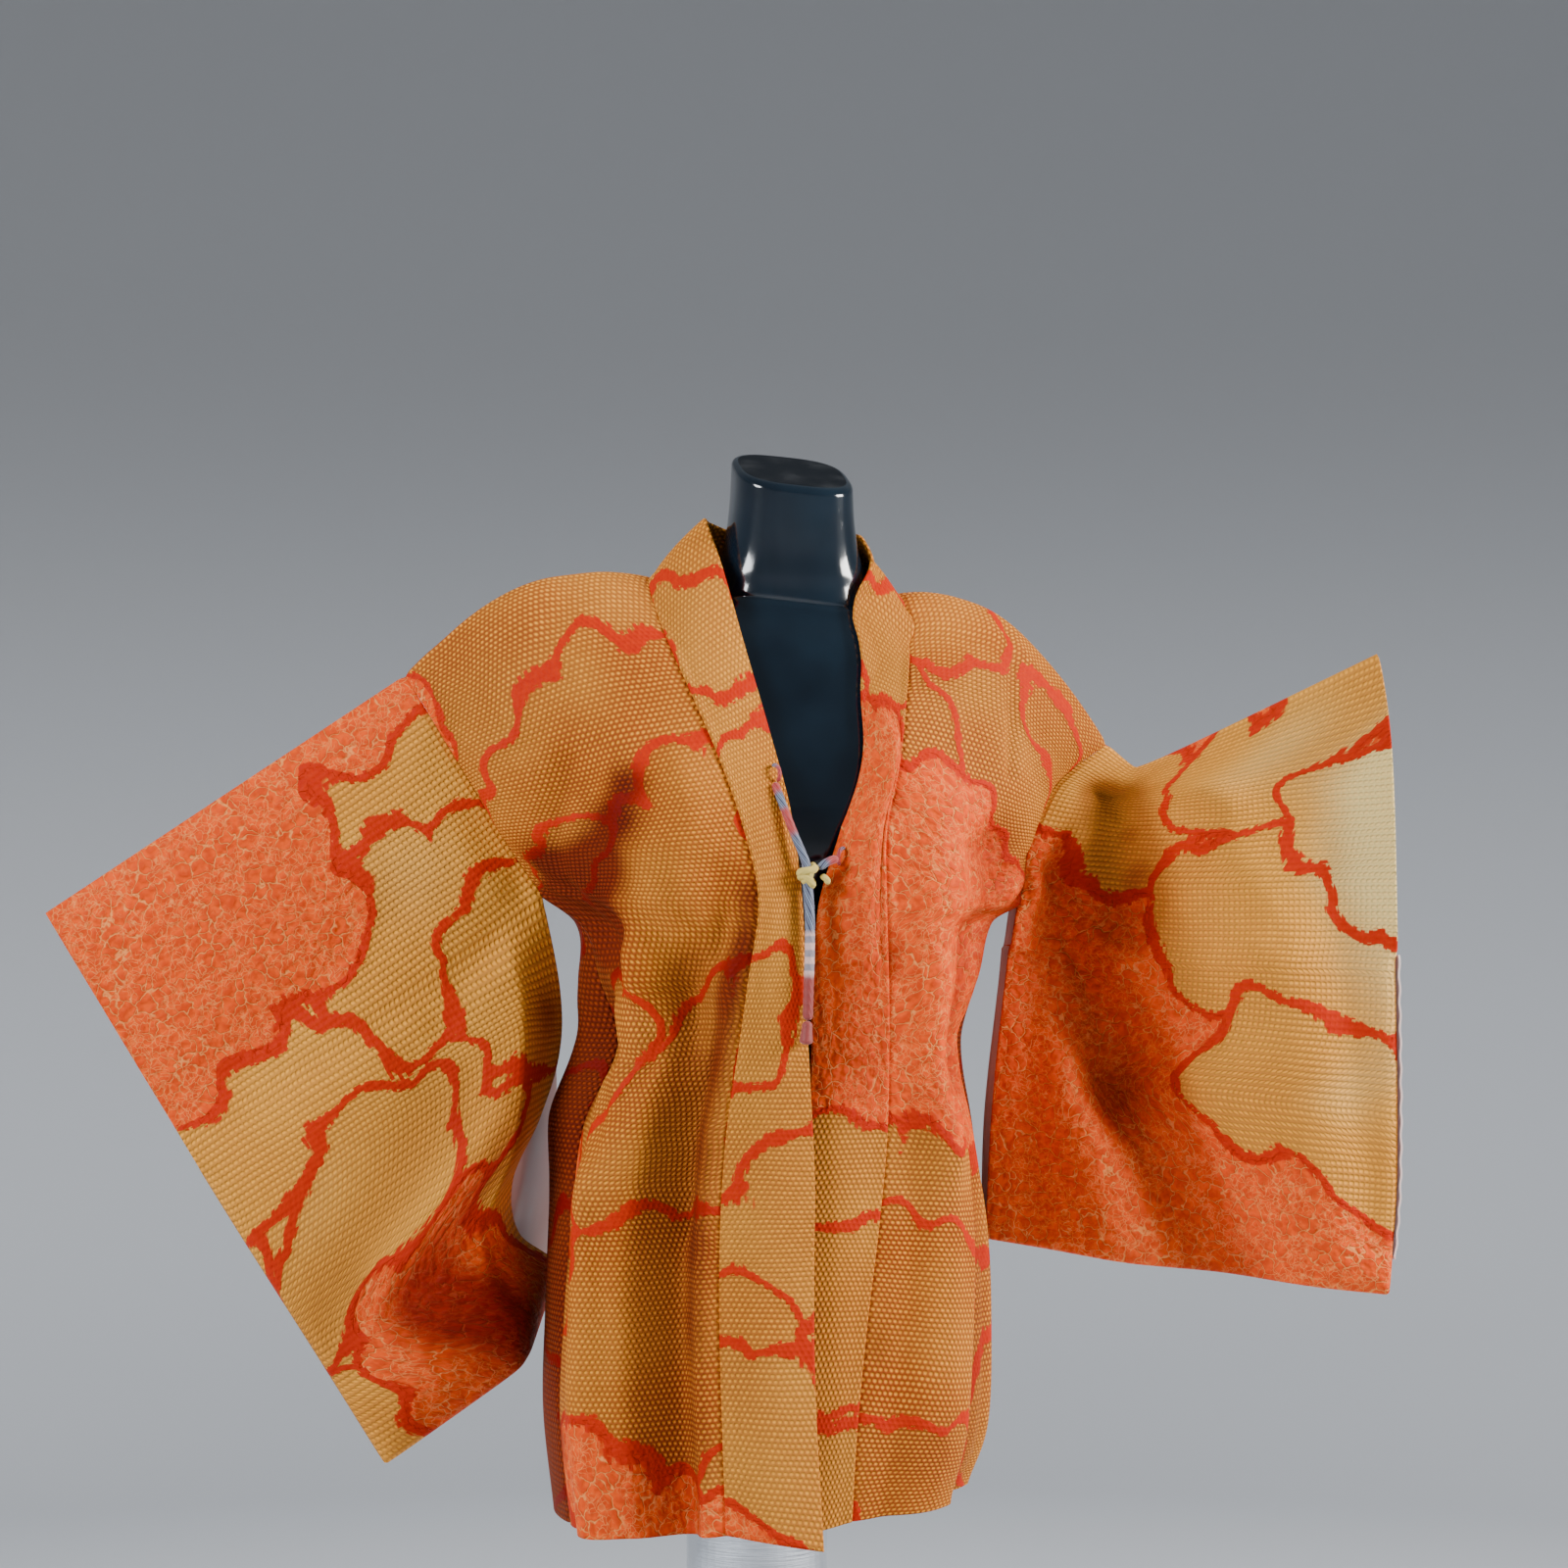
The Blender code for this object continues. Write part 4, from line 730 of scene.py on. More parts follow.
def cloth_object(name, points, outward, thickness, attributes, slots, places, turn_row=None):
    """Fine outer layer and coarser lining layer, joined round every open edge.

    A ring turns from its front layer to its back layer after turn_row, and is closed on itself.
    """
    ring = turn_row is not None
    rows, columns = points.shape[:2]
    normals = grid_normals(points, ring) * outward
    half = thickness / 2.0
    half = half[..., None] if np.ndim(half) else half
    outer = points + normals * half
    inner_rows = np.arange(0, rows, LINING_STEP)
    inner_columns = np.arange(0, columns, LINING_STEP)
    inner = (points - normals * half)[np.ix_(inner_rows, inner_columns)]
    base = rows * columns
    wide = len(inner_columns)

    def at(row, column):
        return (row % rows) * columns + column

    def inside(row, column):
        return base + (row % len(inner_rows)) * wide + column

    faces = []
    for row in range(rows if ring else rows - 1):
        for column in range(columns - 1):
            faces.append((at(row, column), at(row + 1, column), at(row + 1, column + 1), at(row, column + 1)))
    outer_count = len(faces)
    for row in range(len(inner_rows) if ring else len(inner_rows) - 1):
        for column in range(wide - 1):
            faces.append((inside(row, column), inside(row, column + 1),
                          inside(row + 1, column + 1), inside(row + 1, column)))
    lining_count = len(faces)
    for row in range(len(inner_rows) if ring else len(inner_rows) - 1):
        first = [at(row * LINING_STEP + step, 0) for step in range(LINING_STEP, -1, -1)]
        last = [at(row * LINING_STEP + step, columns - 1) for step in range(LINING_STEP + 1)]
        faces.append((*first, inside(row, 0), inside(row + 1, 0)))
        faces.append((*last, inside(row + 1, wide - 1), inside(row, wide - 1)))
    if not ring:
        for column in range(wide - 1):
            first = [at(0, column * LINING_STEP + step) for step in range(LINING_STEP + 1)]
            last = [at(rows - 1, column * LINING_STEP + step) for step in range(LINING_STEP, -1, -1)]
            faces.append((*first, inside(0, column + 1), inside(0, column)))
            low_row = len(inner_rows) - 1
            faces.append((*last, inside(low_row, column), inside(low_row, column + 1)))
    if outward < 0:
        faces = [tuple(reversed(face)) for face in faces]
    vertices = np.concatenate([outer.reshape(-1, 3), inner.reshape(-1, 3)])
    mesh = bpy.data.meshes.new(name)
    mesh.from_pydata(vertices.tolist(), [], faces)
    indexes = np.zeros(len(faces), dtype=np.int32)
    indexes[outer_count:lining_count] = 1
    for slot in slots:
        mesh.materials.append(slot)
    mesh.polygons.foreach_set("material_index", indexes)
    mesh.polygons.foreach_set("use_smooth", np.ones(len(faces), dtype=bool))
    pick = np.ix_(inner_rows, inner_columns)
    for label, values in attributes.items():
        point_values(mesh, label, np.concatenate([values.reshape(-1), values[pick].reshape(-1)]))
    flat = np.stack(places, axis=-1)
    flat = np.concatenate([flat.reshape(-1, 2), flat[pick].reshape(-1, 2)]).astype(np.float32)
    corners = np.empty(len(mesh.loops), dtype=np.int32)
    mesh.loops.foreach_get("vertex_index", corners)
    flat = flat[corners]
    if ring:
        strip = slice(turn_row * (columns - 1) * 4, (turn_row + 1) * (columns - 1) * 4)
        turned = corners[strip] // columns == turn_row + 1
        flat[strip, 1] += np.where(turned, 2.0 * SLEEVE_DEPTH, 0.0)
    mesh.uv_layers.new(name="cloth").data.foreach_set("uv", flat.reshape(-1))
    mesh.update()
    return linked_object(name, mesh)


def spread_clouds(first, last, width):
    """Clouds for cloth that the picture doesn't show, in staggered rows from first to last."""
    clouds = []
    rows = max(1, round(abs(last - first) / CLOUD_ROW_STEP))
    step = (last - first) / rows
    for row in range(rows + 1):
        along = first + step * row
        for place in np.arange(0.05 + CLOUD_STEP / 2.0 * (row % 2), width + 0.06, CLOUD_STEP):
            lobes = [(place, along, CLOUD_CORE)]
            for turn in range(CLOUD_LOBES):
                angle = math.radians(20.0 + 72.0 * turn + 31.0 * row + 190.0 * place)
                reach = 0.042 + 0.006 * math.sin(5.0 * turn + 3.0 * row)
                lobes.append((place + reach * math.cos(angle), along + reach * math.sin(angle), CLOUD_LOBE))
            crinkled = 1.0 if (row * 2 + round(place / CLOUD_STEP)) % 5 == 1 else 0.0
            clouds.append((crinkled, math.sin(7.0 * row + 40.0 * place), lobes))
    return clouds


# Clouds from the lowest to the topmost: crinkled ground or dotted, shade, lobes as (across, along, radius)
CLOUDS_BODY_RIGHT = [
    (0.0, 0.3, [(0.13, 0.00, 3.0)]),
    (1.0, 0.2, [(0.285, 0.02, 0.050), (0.250, 0.05, 0.030), (0.262, 0.085, 0.028)]),
    (0.0, 0.0, [
        (0.085, 0.085, 0.032), (0.040, 0.090, 0.034), (0.000, 0.100, 0.040), (0.120, 0.115, 0.038),
        (0.155, 0.150, 0.040), (0.200, 0.200, 0.045), (0.060, 0.160, 0.070), (0.130, 0.210, 0.060),
    ]),
    (0.0, 0.5, [
        (0.165, 0.245, 0.034), (0.132, 0.225, 0.030), (0.105, 0.232, 0.026), (0.200, 0.280, 0.040),
        (0.140, 0.270, 0.040), (0.235, 0.320, 0.050),
    ]),
    (0.0, -0.3, [
        (0.045, 0.185, 0.034), (0.005, 0.185, 0.034), (0.075, 0.225, 0.035), (0.105, 0.270, 0.040),
        (0.150, 0.310, 0.045), (0.050, 0.280, 0.070), (0.030, 0.360, 0.060), (0.110, 0.350, 0.060),
    ]),
    (0.0, 0.4, [(0.200, 0.385, 0.040), (0.165, 0.378, 0.028), (0.235, 0.420, 0.050), (0.190, 0.440, 0.050)]),
    (0.0, 0.1, [
        (0.000, 0.360, 0.034), (0.045, 0.365, 0.033), (0.090, 0.385, 0.034), (0.130, 0.420, 0.036),
        (0.060, 0.440, 0.060), (0.140, 0.480, 0.055), (0.040, 0.500, 0.060), (0.110, 0.530, 0.050),
    ]),
    (1.0, 0.0, [(0.262, 0.490, 0.030), (0.245, 0.525, 0.030)]),
    (0.0, -0.2, [
        (0.150, 0.560, 0.035), (0.105, 0.556, 0.036), (0.060, 0.552, 0.036), (0.015, 0.556, 0.038),
        (0.100, 0.620, 0.070), (0.030, 0.640, 0.070), (0.180, 0.620, 0.060), (0.110, 0.700, 0.060),
    ]),
    (0.0, 0.4, [(0.240, 0.650, 0.034), (0.255, 0.700, 0.040)]),
    (1.0, 0.2, [
        (0.220, 0.712, 0.042), (0.165, 0.720, 0.042), (0.120, 0.745, 0.037), (0.075, 0.755, 0.038),
        (0.030, 0.765, 0.035), (-0.010, 0.775, 0.040), (0.180, 0.770, 0.050),
    ]),
]
CLOUDS_BODY_LEFT = [
    (0.0, 0.2, [(0.13, 0.06, 3.0)]),
    (0.0, -0.3, [(0.020, 0.030, 0.037), (0.060, 0.034, 0.032), (0.092, 0.030, 0.030), (0.050, 0.000, 0.050)]),
    (0.0, 0.4, [(0.008, 0.095, 0.030), (0.035, 0.125, 0.035), (0.045, 0.155, 0.035)]),
    (0.0, -0.1, [(0.170, 0.060, 0.032), (0.205, 0.075, 0.034), (0.235, 0.100, 0.034), (0.250, 0.130, 0.030)]),
    (1.0, 0.0, [
        (0.020, 0.200, 0.036), (0.060, 0.195, 0.038), (0.095, 0.200, 0.036), (0.125, 0.225, 0.035),
        (0.155, 0.255, 0.040), (0.200, 0.290, 0.050), (0.050, 0.270, 0.070), (0.120, 0.320, 0.070),
        (0.200, 0.360, 0.070), (0.050, 0.360, 0.070), (0.130, 0.400, 0.070), (0.040, 0.440, 0.060),
        (0.210, 0.440, 0.070), (0.130, 0.470, 0.060),
    ]),
    (0.0, 0.1, [
        (0.000, 0.478, 0.035), (0.045, 0.488, 0.035), (0.090, 0.495, 0.034), (0.140, 0.498, 0.034),
        (0.190, 0.505, 0.033), (0.250, 0.520, 0.040), (0.060, 0.550, 0.060), (0.160, 0.550, 0.060),
    ]),
    (0.0, 0.5, [(0.160, 0.590, 0.036), (0.210, 0.596, 0.038), (0.250, 0.590, 0.040), (0.180, 0.650, 0.060)]),
    (0.0, -0.3, [
        (0.010, 0.545, 0.035), (0.060, 0.552, 0.032), (0.100, 0.566, 0.030), (0.040, 0.610, 0.060),
        (0.080, 0.640, 0.060), (0.100, 0.690, 0.060), (0.020, 0.690, 0.060),
    ]),
    (0.0, 0.3, [(0.205, 0.670, 0.036), (0.240, 0.645, 0.036), (0.230, 0.720, 0.050)]),
    (0.0, 0.0, [
        (0.010, 0.715, 0.035), (0.055, 0.710, 0.033), (0.100, 0.704, 0.033), (0.145, 0.716, 0.031),
        (0.070, 0.780, 0.070), (0.150, 0.790, 0.060),
    ]),
]
CLOUDS_SLEEVE_RIGHT = [
    (0.0, 0.1, [(0.17, 0.25, 3.0)]),
    (0.0, 0.4, [(0.345, 0.330, 0.046), (0.330, 0.380, 0.050)]),
    (0.0, -0.2, [(0.020, 0.145, 0.038), (0.085, 0.122, 0.038), (0.120, 0.165, 0.045), (0.060, 0.190, 0.060),
                 (0.150, 0.205, 0.050)]),
    (0.0, 0.3, [(0.010, 0.207, 0.040), (0.050, 0.217, 0.046), (0.055, 0.250, 0.046), (0.020, 0.262, 0.050)]),
    (0.0, 0.0, [
        (0.212, 0.236, 0.044), (0.250, 0.222, 0.046), (0.140, 0.286, 0.045), (0.290, 0.228, 0.046),
        (0.340, 0.232, 0.046), (0.225, 0.212, 0.040),
        (0.095, 0.335, 0.040), (0.330, 0.270, 0.040), (0.180, 0.300, 0.050),
    ]),
    (0.0, 0.5, [
        (0.165, 0.295, 0.044), (0.215, 0.288, 0.045), (0.240, 0.330, 0.046), (0.212, 0.368, 0.048),
        (0.155, 0.345, 0.042), (0.190, 0.330, 0.060),
    ]),
    (0.0, -0.1, [
        (0.285, 0.415, 0.046), (0.235, 0.456, 0.042), (0.330, 0.440, 0.050), (0.285, 0.480, 0.060),
        (0.220, 0.500, 0.045),
    ]),
    (1.0, -0.9, [
        (0.095, 0.390, 0.036), (0.138, 0.405, 0.036), (0.166, 0.450, 0.038), (0.200, 0.500, 0.042),
        (0.130, 0.470, 0.060), (0.070, 0.450, 0.060),
    ]),
    (1.0, 0.1, [
        (0.012, -0.012, 0.044), (0.062, 0.002, 0.045), (0.165, 0.075, 0.054), (0.168, 0.118, 0.052),
        (0.250, 0.122, 0.056), (0.322, 0.132, 0.066), (0.200, 0.030, 0.080), (0.300, 0.040, 0.100),
        (0.120, -0.040, 0.070), (0.220, -0.060, 0.090),
    ]),
]
CLOUDS_SLEEVE_LEFT = [
    (1.0, 0.1, [(0.17, 0.25, 3.0)]),
    (0.0, -0.2, [(0.030, 0.060, 0.070), (0.060, 0.095, 0.060), (0.100, 0.140, 0.052), (0.020, 0.090, 0.040)]),
    (0.0, 0.3, [
        (0.150, 0.058, 0.048), (0.200, 0.050, 0.048), (0.205, 0.095, 0.044), (0.160, 0.090, 0.046),
        (0.250, 0.020, 0.050), (0.220, -0.010, 0.050), (0.120, 0.030, 0.030), (0.300, 0.010, 0.050),
        (0.345, 0.020, 0.050),
    ]),
    (0.0, 0.0, [
        (0.172, 0.186, 0.052), (0.215, 0.182, 0.050), (0.190, 0.235, 0.050), (0.260, 0.205, 0.052),
        (0.300, 0.225, 0.055), (0.250, 0.250, 0.060), (0.340, 0.250, 0.055),
    ]),
    (0.0, 0.9, [
        (0.252, 0.112, 0.042), (0.288, 0.124, 0.050), (0.326, 0.164, 0.055), (0.335, 0.120, 0.050),
        (0.320, 0.110, 0.040), (0.350, 0.150, 0.070),
    ]),
    (0.0, 0.3, [
        (0.232, 0.310, 0.046), (0.235, 0.345, 0.045), (0.296, 0.342, 0.048), (0.345, 0.352, 0.047),
        (0.285, 0.362, 0.046), (0.335, 0.392, 0.050),
    ]),
]
CLOUDS_COLLAR_RIGHT = [
    (0.0, 0.0, [(0.035, 0.20, 3.0)]),
    (0.0, 0.4, [(0.010, 0.045, 0.026), (0.045, 0.075, 0.028), (0.030, 0.095, 0.030), (0.075, 0.100, 0.030)]),
    (0.0, -0.1, [(0.018, 0.190, 0.034), (0.058, 0.184, 0.034), (0.035, 0.240, 0.050), (0.035, 0.300, 0.055)]),
    (0.0, 0.3, [(0.025, 0.345, 0.030), (-0.005, 0.350, 0.030), (0.012, 0.390, 0.036)]),
    (0.0, 0.1, [(0.070, 0.482, 0.035), (0.045, 0.502, 0.034), (0.008, 0.548, 0.034), (0.050, 0.560, 0.045)]),
    (0.0, -0.3, [(0.005, 0.598, 0.034), (0.032, 0.612, 0.028), (0.060, 0.655, 0.036), (0.020, 0.650, 0.040)]),
    (0.0, 0.2, [(0.000, 0.655, 0.034), (0.036, 0.657, 0.032), (0.064, 0.668, 0.030), (0.035, 0.720, 0.060)]),
    (1.0, 0.0, [(0.000, 0.776, 0.034), (0.030, 0.786, 0.030)]),
]
CLOUDS_COLLAR_LEFT = [
    (0.0, 0.1, [(0.035, 0.20, 3.0)]),
    (0.0, -0.3, [(0.015, 0.045, 0.032), (0.055, 0.060, 0.034), (0.030, 0.090, 0.036)]),
    (1.0, 0.0, [(0.018, 0.163, 0.038), (0.055, 0.163, 0.038), (0.035, 0.220, 0.060), (0.035, 0.280, 0.060),
                (0.035, 0.340, 0.060), (0.035, 0.400, 0.060), (0.035, 0.440, 0.050)]),
    (0.0, 0.2, [(0.010, 0.478, 0.034), (0.055, 0.475, 0.034), (0.035, 0.520, 0.050)]),
    (0.0, -0.2, [(0.052, 0.566, 0.035), (0.005, 0.560, 0.034), (0.035, 0.620, 0.055)]),
    (0.0, 0.3, [(0.050, 0.715, 0.036), (0.010, 0.712, 0.036), (0.035, 0.760, 0.050)]),
]


# Painted shade (positive) and painted highlight (negative) on the cloth, where folds and the cloth under the
# arms lie in shade and where the sleeves catch the light: across, along, radius, amount
PAINTED_SHADE_BODY_RIGHT = [
    (0.083, 0.172, 0.018, 0.75), (0.103, 0.202, 0.024, 0.95), (0.130, 0.240, 0.030, 1.00),
    (0.160, 0.275, 0.034, 1.00), (0.195, 0.305, 0.038, 1.00), (0.190, 0.245, 0.032, 0.80),
    (0.240, 0.300, 0.040, 1.00), (0.245, 0.370, 0.030, 0.80), (0.258, 0.440, 0.026, 0.80),
    (0.012, 0.275, 0.020, 0.60), (0.015, 0.310, 0.022, 0.60), (0.030, 0.345, 0.032, 0.75),
    (0.046, 0.400, 0.040, 0.75), (0.046, 0.470, 0.042, 0.75), (0.044, 0.540, 0.042, 0.75),
    (0.046, 0.610, 0.042, 0.65), (0.046, 0.690, 0.045, 0.55), (0.258, 0.560, 0.022, 0.70),
    (0.255, 0.700, 0.022, 0.70), (0.150, 0.400, 0.030, 0.25),
]
PAINTED_SHADE_BODY_LEFT = [
    (0.245, 0.270, 0.034, 0.90), (0.205, 0.410, 0.045, 0.55), (0.130, 0.395, 0.040, 0.45),
    (0.008, 0.200, 0.018, 0.45), (0.008, 0.320, 0.022, 0.60), (0.060, 0.440, 0.050, 0.35),
    (0.120, 0.290, 0.060, 0.25), (0.250, 0.560, 0.030, 0.45), (0.180, 0.600, 0.040, 0.30),
    (0.070, 0.700, 0.045, 0.35), (0.012, 0.620, 0.030, 0.40), (0.235, 0.330, 0.040, 0.60),
]
PAINTED_SHADE_AND_HIGHLIGHT_SLEEVE_RIGHT = [
    (0.030, 0.300, 0.040, 0.45), (0.060, 0.360, 0.045, 0.60), (0.110, 0.420, 0.045, 0.95),
    (0.120, 0.480, 0.050, 0.80), (0.020, 0.260, 0.024, 0.50), (0.240, 0.480, 0.060, 0.35),
    (0.080, 0.130, 0.060, -0.20), (0.250, 0.300, 0.060, -0.15),
]
PAINTED_SHADE_AND_HIGHLIGHT_SLEEVE_LEFT = [
    (0.084, 0.128, 0.022, 0.55), (0.108, 0.168, 0.026, 0.60), (0.130, 0.210, 0.034, 0.40),
    (0.150, 0.260, 0.035, 0.30), (0.175, 0.320, 0.045, 0.25), (0.190, 0.390, 0.045, 0.25),
    (0.030, 0.170, 0.040, 0.55),
    (0.300, 0.110, 0.060, -0.80), (0.330, 0.170, 0.055, -0.80), (0.335, 0.060, 0.050, -0.60),
    (0.320, 0.250, 0.050, -0.35), (0.180, 0.050, 0.050, -0.35), (0.335, 0.330, 0.050, -0.30),
]
PAINTED_SHADE_COLLAR_LEFT = [(0.035, 0.300, 0.060, 0.35), (0.035, 0.400, 0.060, 0.45), (0.035, 0.700, 0.060, 0.30)]
# Painted shade over the whole of each gusset, which lies in shade between the front and the back
PAINTED_SHADE_GUSSET = 0.85


def painted_shade_and_highlight(lobes, across, along):
    """Painted shade at each place, from -1 to 1: positive values darken, negative values give painted
    highlight.
    """
    total = np.zeros(across.shape)
    for lobe_across, lobe_along, radius, amount in lobes:
        distance = np.hypot(across - lobe_across, along - lobe_along) / radius
        total = total + amount * np.exp(-distance ** 2)
    return np.clip(total, -1.0, 1.0)


class Finish:
    """Short way to build the node tree of one material."""

    def __init__(self, name, roughness=0.5, metallic=0.0):
        self.material = bpy.data.materials.new(name)
        self.material.use_nodes = True
        self.tree = self.material.node_tree
        self.shader = self.tree.nodes["Principled BSDF"]
        self.shader.inputs["Roughness"].default_value = roughness
        self.shader.inputs["Metallic"].default_value = metallic

    def node(self, kind, **settings):
        """New node of a kind with its settings."""
        made = self.tree.nodes.new(kind)
        for label, value in settings.items():
            setattr(made, label, value)
        return made

    def put(self, socket, value):
        """Give a socket a link or a plain value."""
        if isinstance(value, bpy.types.NodeSocket):
            self.tree.links.new(value, socket)
        else:
            socket.default_value = value

    def math(self, operation, first, second=0.0, third=0.0):
        """Result of one math node."""
        made = self.node("ShaderNodeMath", operation=operation)
        for socket, value in zip(made.inputs, (first, second, third)):
            self.put(socket, value)
        return made.outputs[0]

    def ramp(self, value, low, high):
        """Value carried smoothly from a range to 0 and 1, and held inside them."""
        made = self.node("ShaderNodeMapRange", interpolation_type="SMOOTHSTEP")
        for socket, part in zip(made.inputs, (value, low, high)):
            self.put(socket, part)
        return made.outputs[0]

    def mix(self, factor, first, second, blend="MIX"):
        """Two colours mixed."""
        made = self.node("ShaderNodeMix", data_type="RGBA", blend_type=blend)
        for socket, value in zip((made.inputs[0], made.inputs[6], made.inputs[7]), (factor, first, second)):
            self.put(socket, value)
        return made.outputs[2]

    def attribute(self, label):
        """Value stored on the mesh."""
        return self.node("ShaderNodeAttribute", attribute_name=label).outputs["Fac"]

    def places(self):
        """Cloth place in metres, as (vector, across, along)."""
        flat = self.node("ShaderNodeUVMap", uv_map="cloth").outputs[0]
        parts = self.node("ShaderNodeSeparateXYZ")
        self.put(parts.inputs[0], flat)
        return flat, parts.outputs[0], parts.outputs[1]

    def object_places(self, scale=1.0):
        """Place in the object, scaled."""
        made = self.node("ShaderNodeMapping")
        self.put(made.inputs["Vector"], self.node("ShaderNodeTexCoord").outputs["Object"])
        made.inputs["Scale"].default_value = (scale, scale, scale) if isinstance(scale, float) else scale
        return made.outputs[0]

    def noise(self, vector, scale, detail=2.0):
        """Soft noise, 0 to 1."""
        made = self.node("ShaderNodeTexNoise")
        self.put(made.inputs["Vector"], vector)
        made.inputs["Scale"].default_value = scale
        made.inputs["Detail"].default_value = detail
        return made.outputs["Fac"]

    def cells(self, vector, scale):
        """Distance to the nearest edge in a field of random cells."""
        made = self.node("ShaderNodeTexVoronoi", feature="DISTANCE_TO_EDGE")
        self.put(made.inputs["Vector"], vector)
        made.inputs["Scale"].default_value = scale
        return made.outputs["Distance"]

    def chance(self, across, along):
        """One random value for each whole cell of two counts."""
        both = self.node("ShaderNodeCombineXYZ")
        self.put(both.inputs[0], self.math("FLOOR", across))
        self.put(both.inputs[1], self.math("FLOOR", along))
        made = self.node("ShaderNodeTexWhiteNoise", noise_dimensions="2D")
        self.put(made.inputs["Vector"], both.outputs[0])
        return made.outputs["Value"]

    def bump(self, height, distance, strength):
        """Relief on the shader's normal."""
        made = self.node("ShaderNodeBump")
        self.put(made.inputs["Height"], height)
        made.inputs["Distance"].default_value = distance
        made.inputs["Strength"].default_value = strength
        self.put(self.shader.inputs["Normal"], made.outputs[0])


# Silk: sizes in metres, scales of its noises, and colours mixed into those of the settings
WANDER = 0.0036
BEAD_EDGE = 0.52
BEAD_TOP = 0.12
CRACKLE_SCALE = 88.0
FINE_CRACKLE_SCALE = 205.0
CRACKLE_WARP_SCALE = 120.0
CRACKLE_WARP = 0.010
MOTTLE_SCALE = 130.0
LIFTED_SCALE = 48.0
PATCH_SCALE = 9.0
FRAY_ACROSS = 0.0032
FRAY_ALONG = 0.0058
FRAY_REACH = 0.0034
LINE_SOFTNESS = 0.0007
PUFF_WIDTH = 0.016
SILK_RELIEF = 0.0014
GOLD_SHADE = (0.62, 0.12, 0.006, 1.0)
GOLD_LIGHT = (1.0, 0.58, 0.12, 1.0)
GOLD_PATCH = (0.95, 0.46, 0.06, 1.0)
GOLD_PALE = (1.0, 0.50, 0.07, 1.0)
# Painted highlight colour
GOLD_PAINTED_HIGHLIGHT = (1.0, 0.86, 0.36, 1.0)
SALMON_SHADE = (0.50, 0.028, 0.002, 1.0)
OUTLINE_LIGHT = (0.60, 0.030, 0.0015, 1.0)
# Painted shade colour, multiplied in where the cloth lies in shade
PAINTED_SHADE_TINT = (0.26, 0.034, 0.014, 1.0)


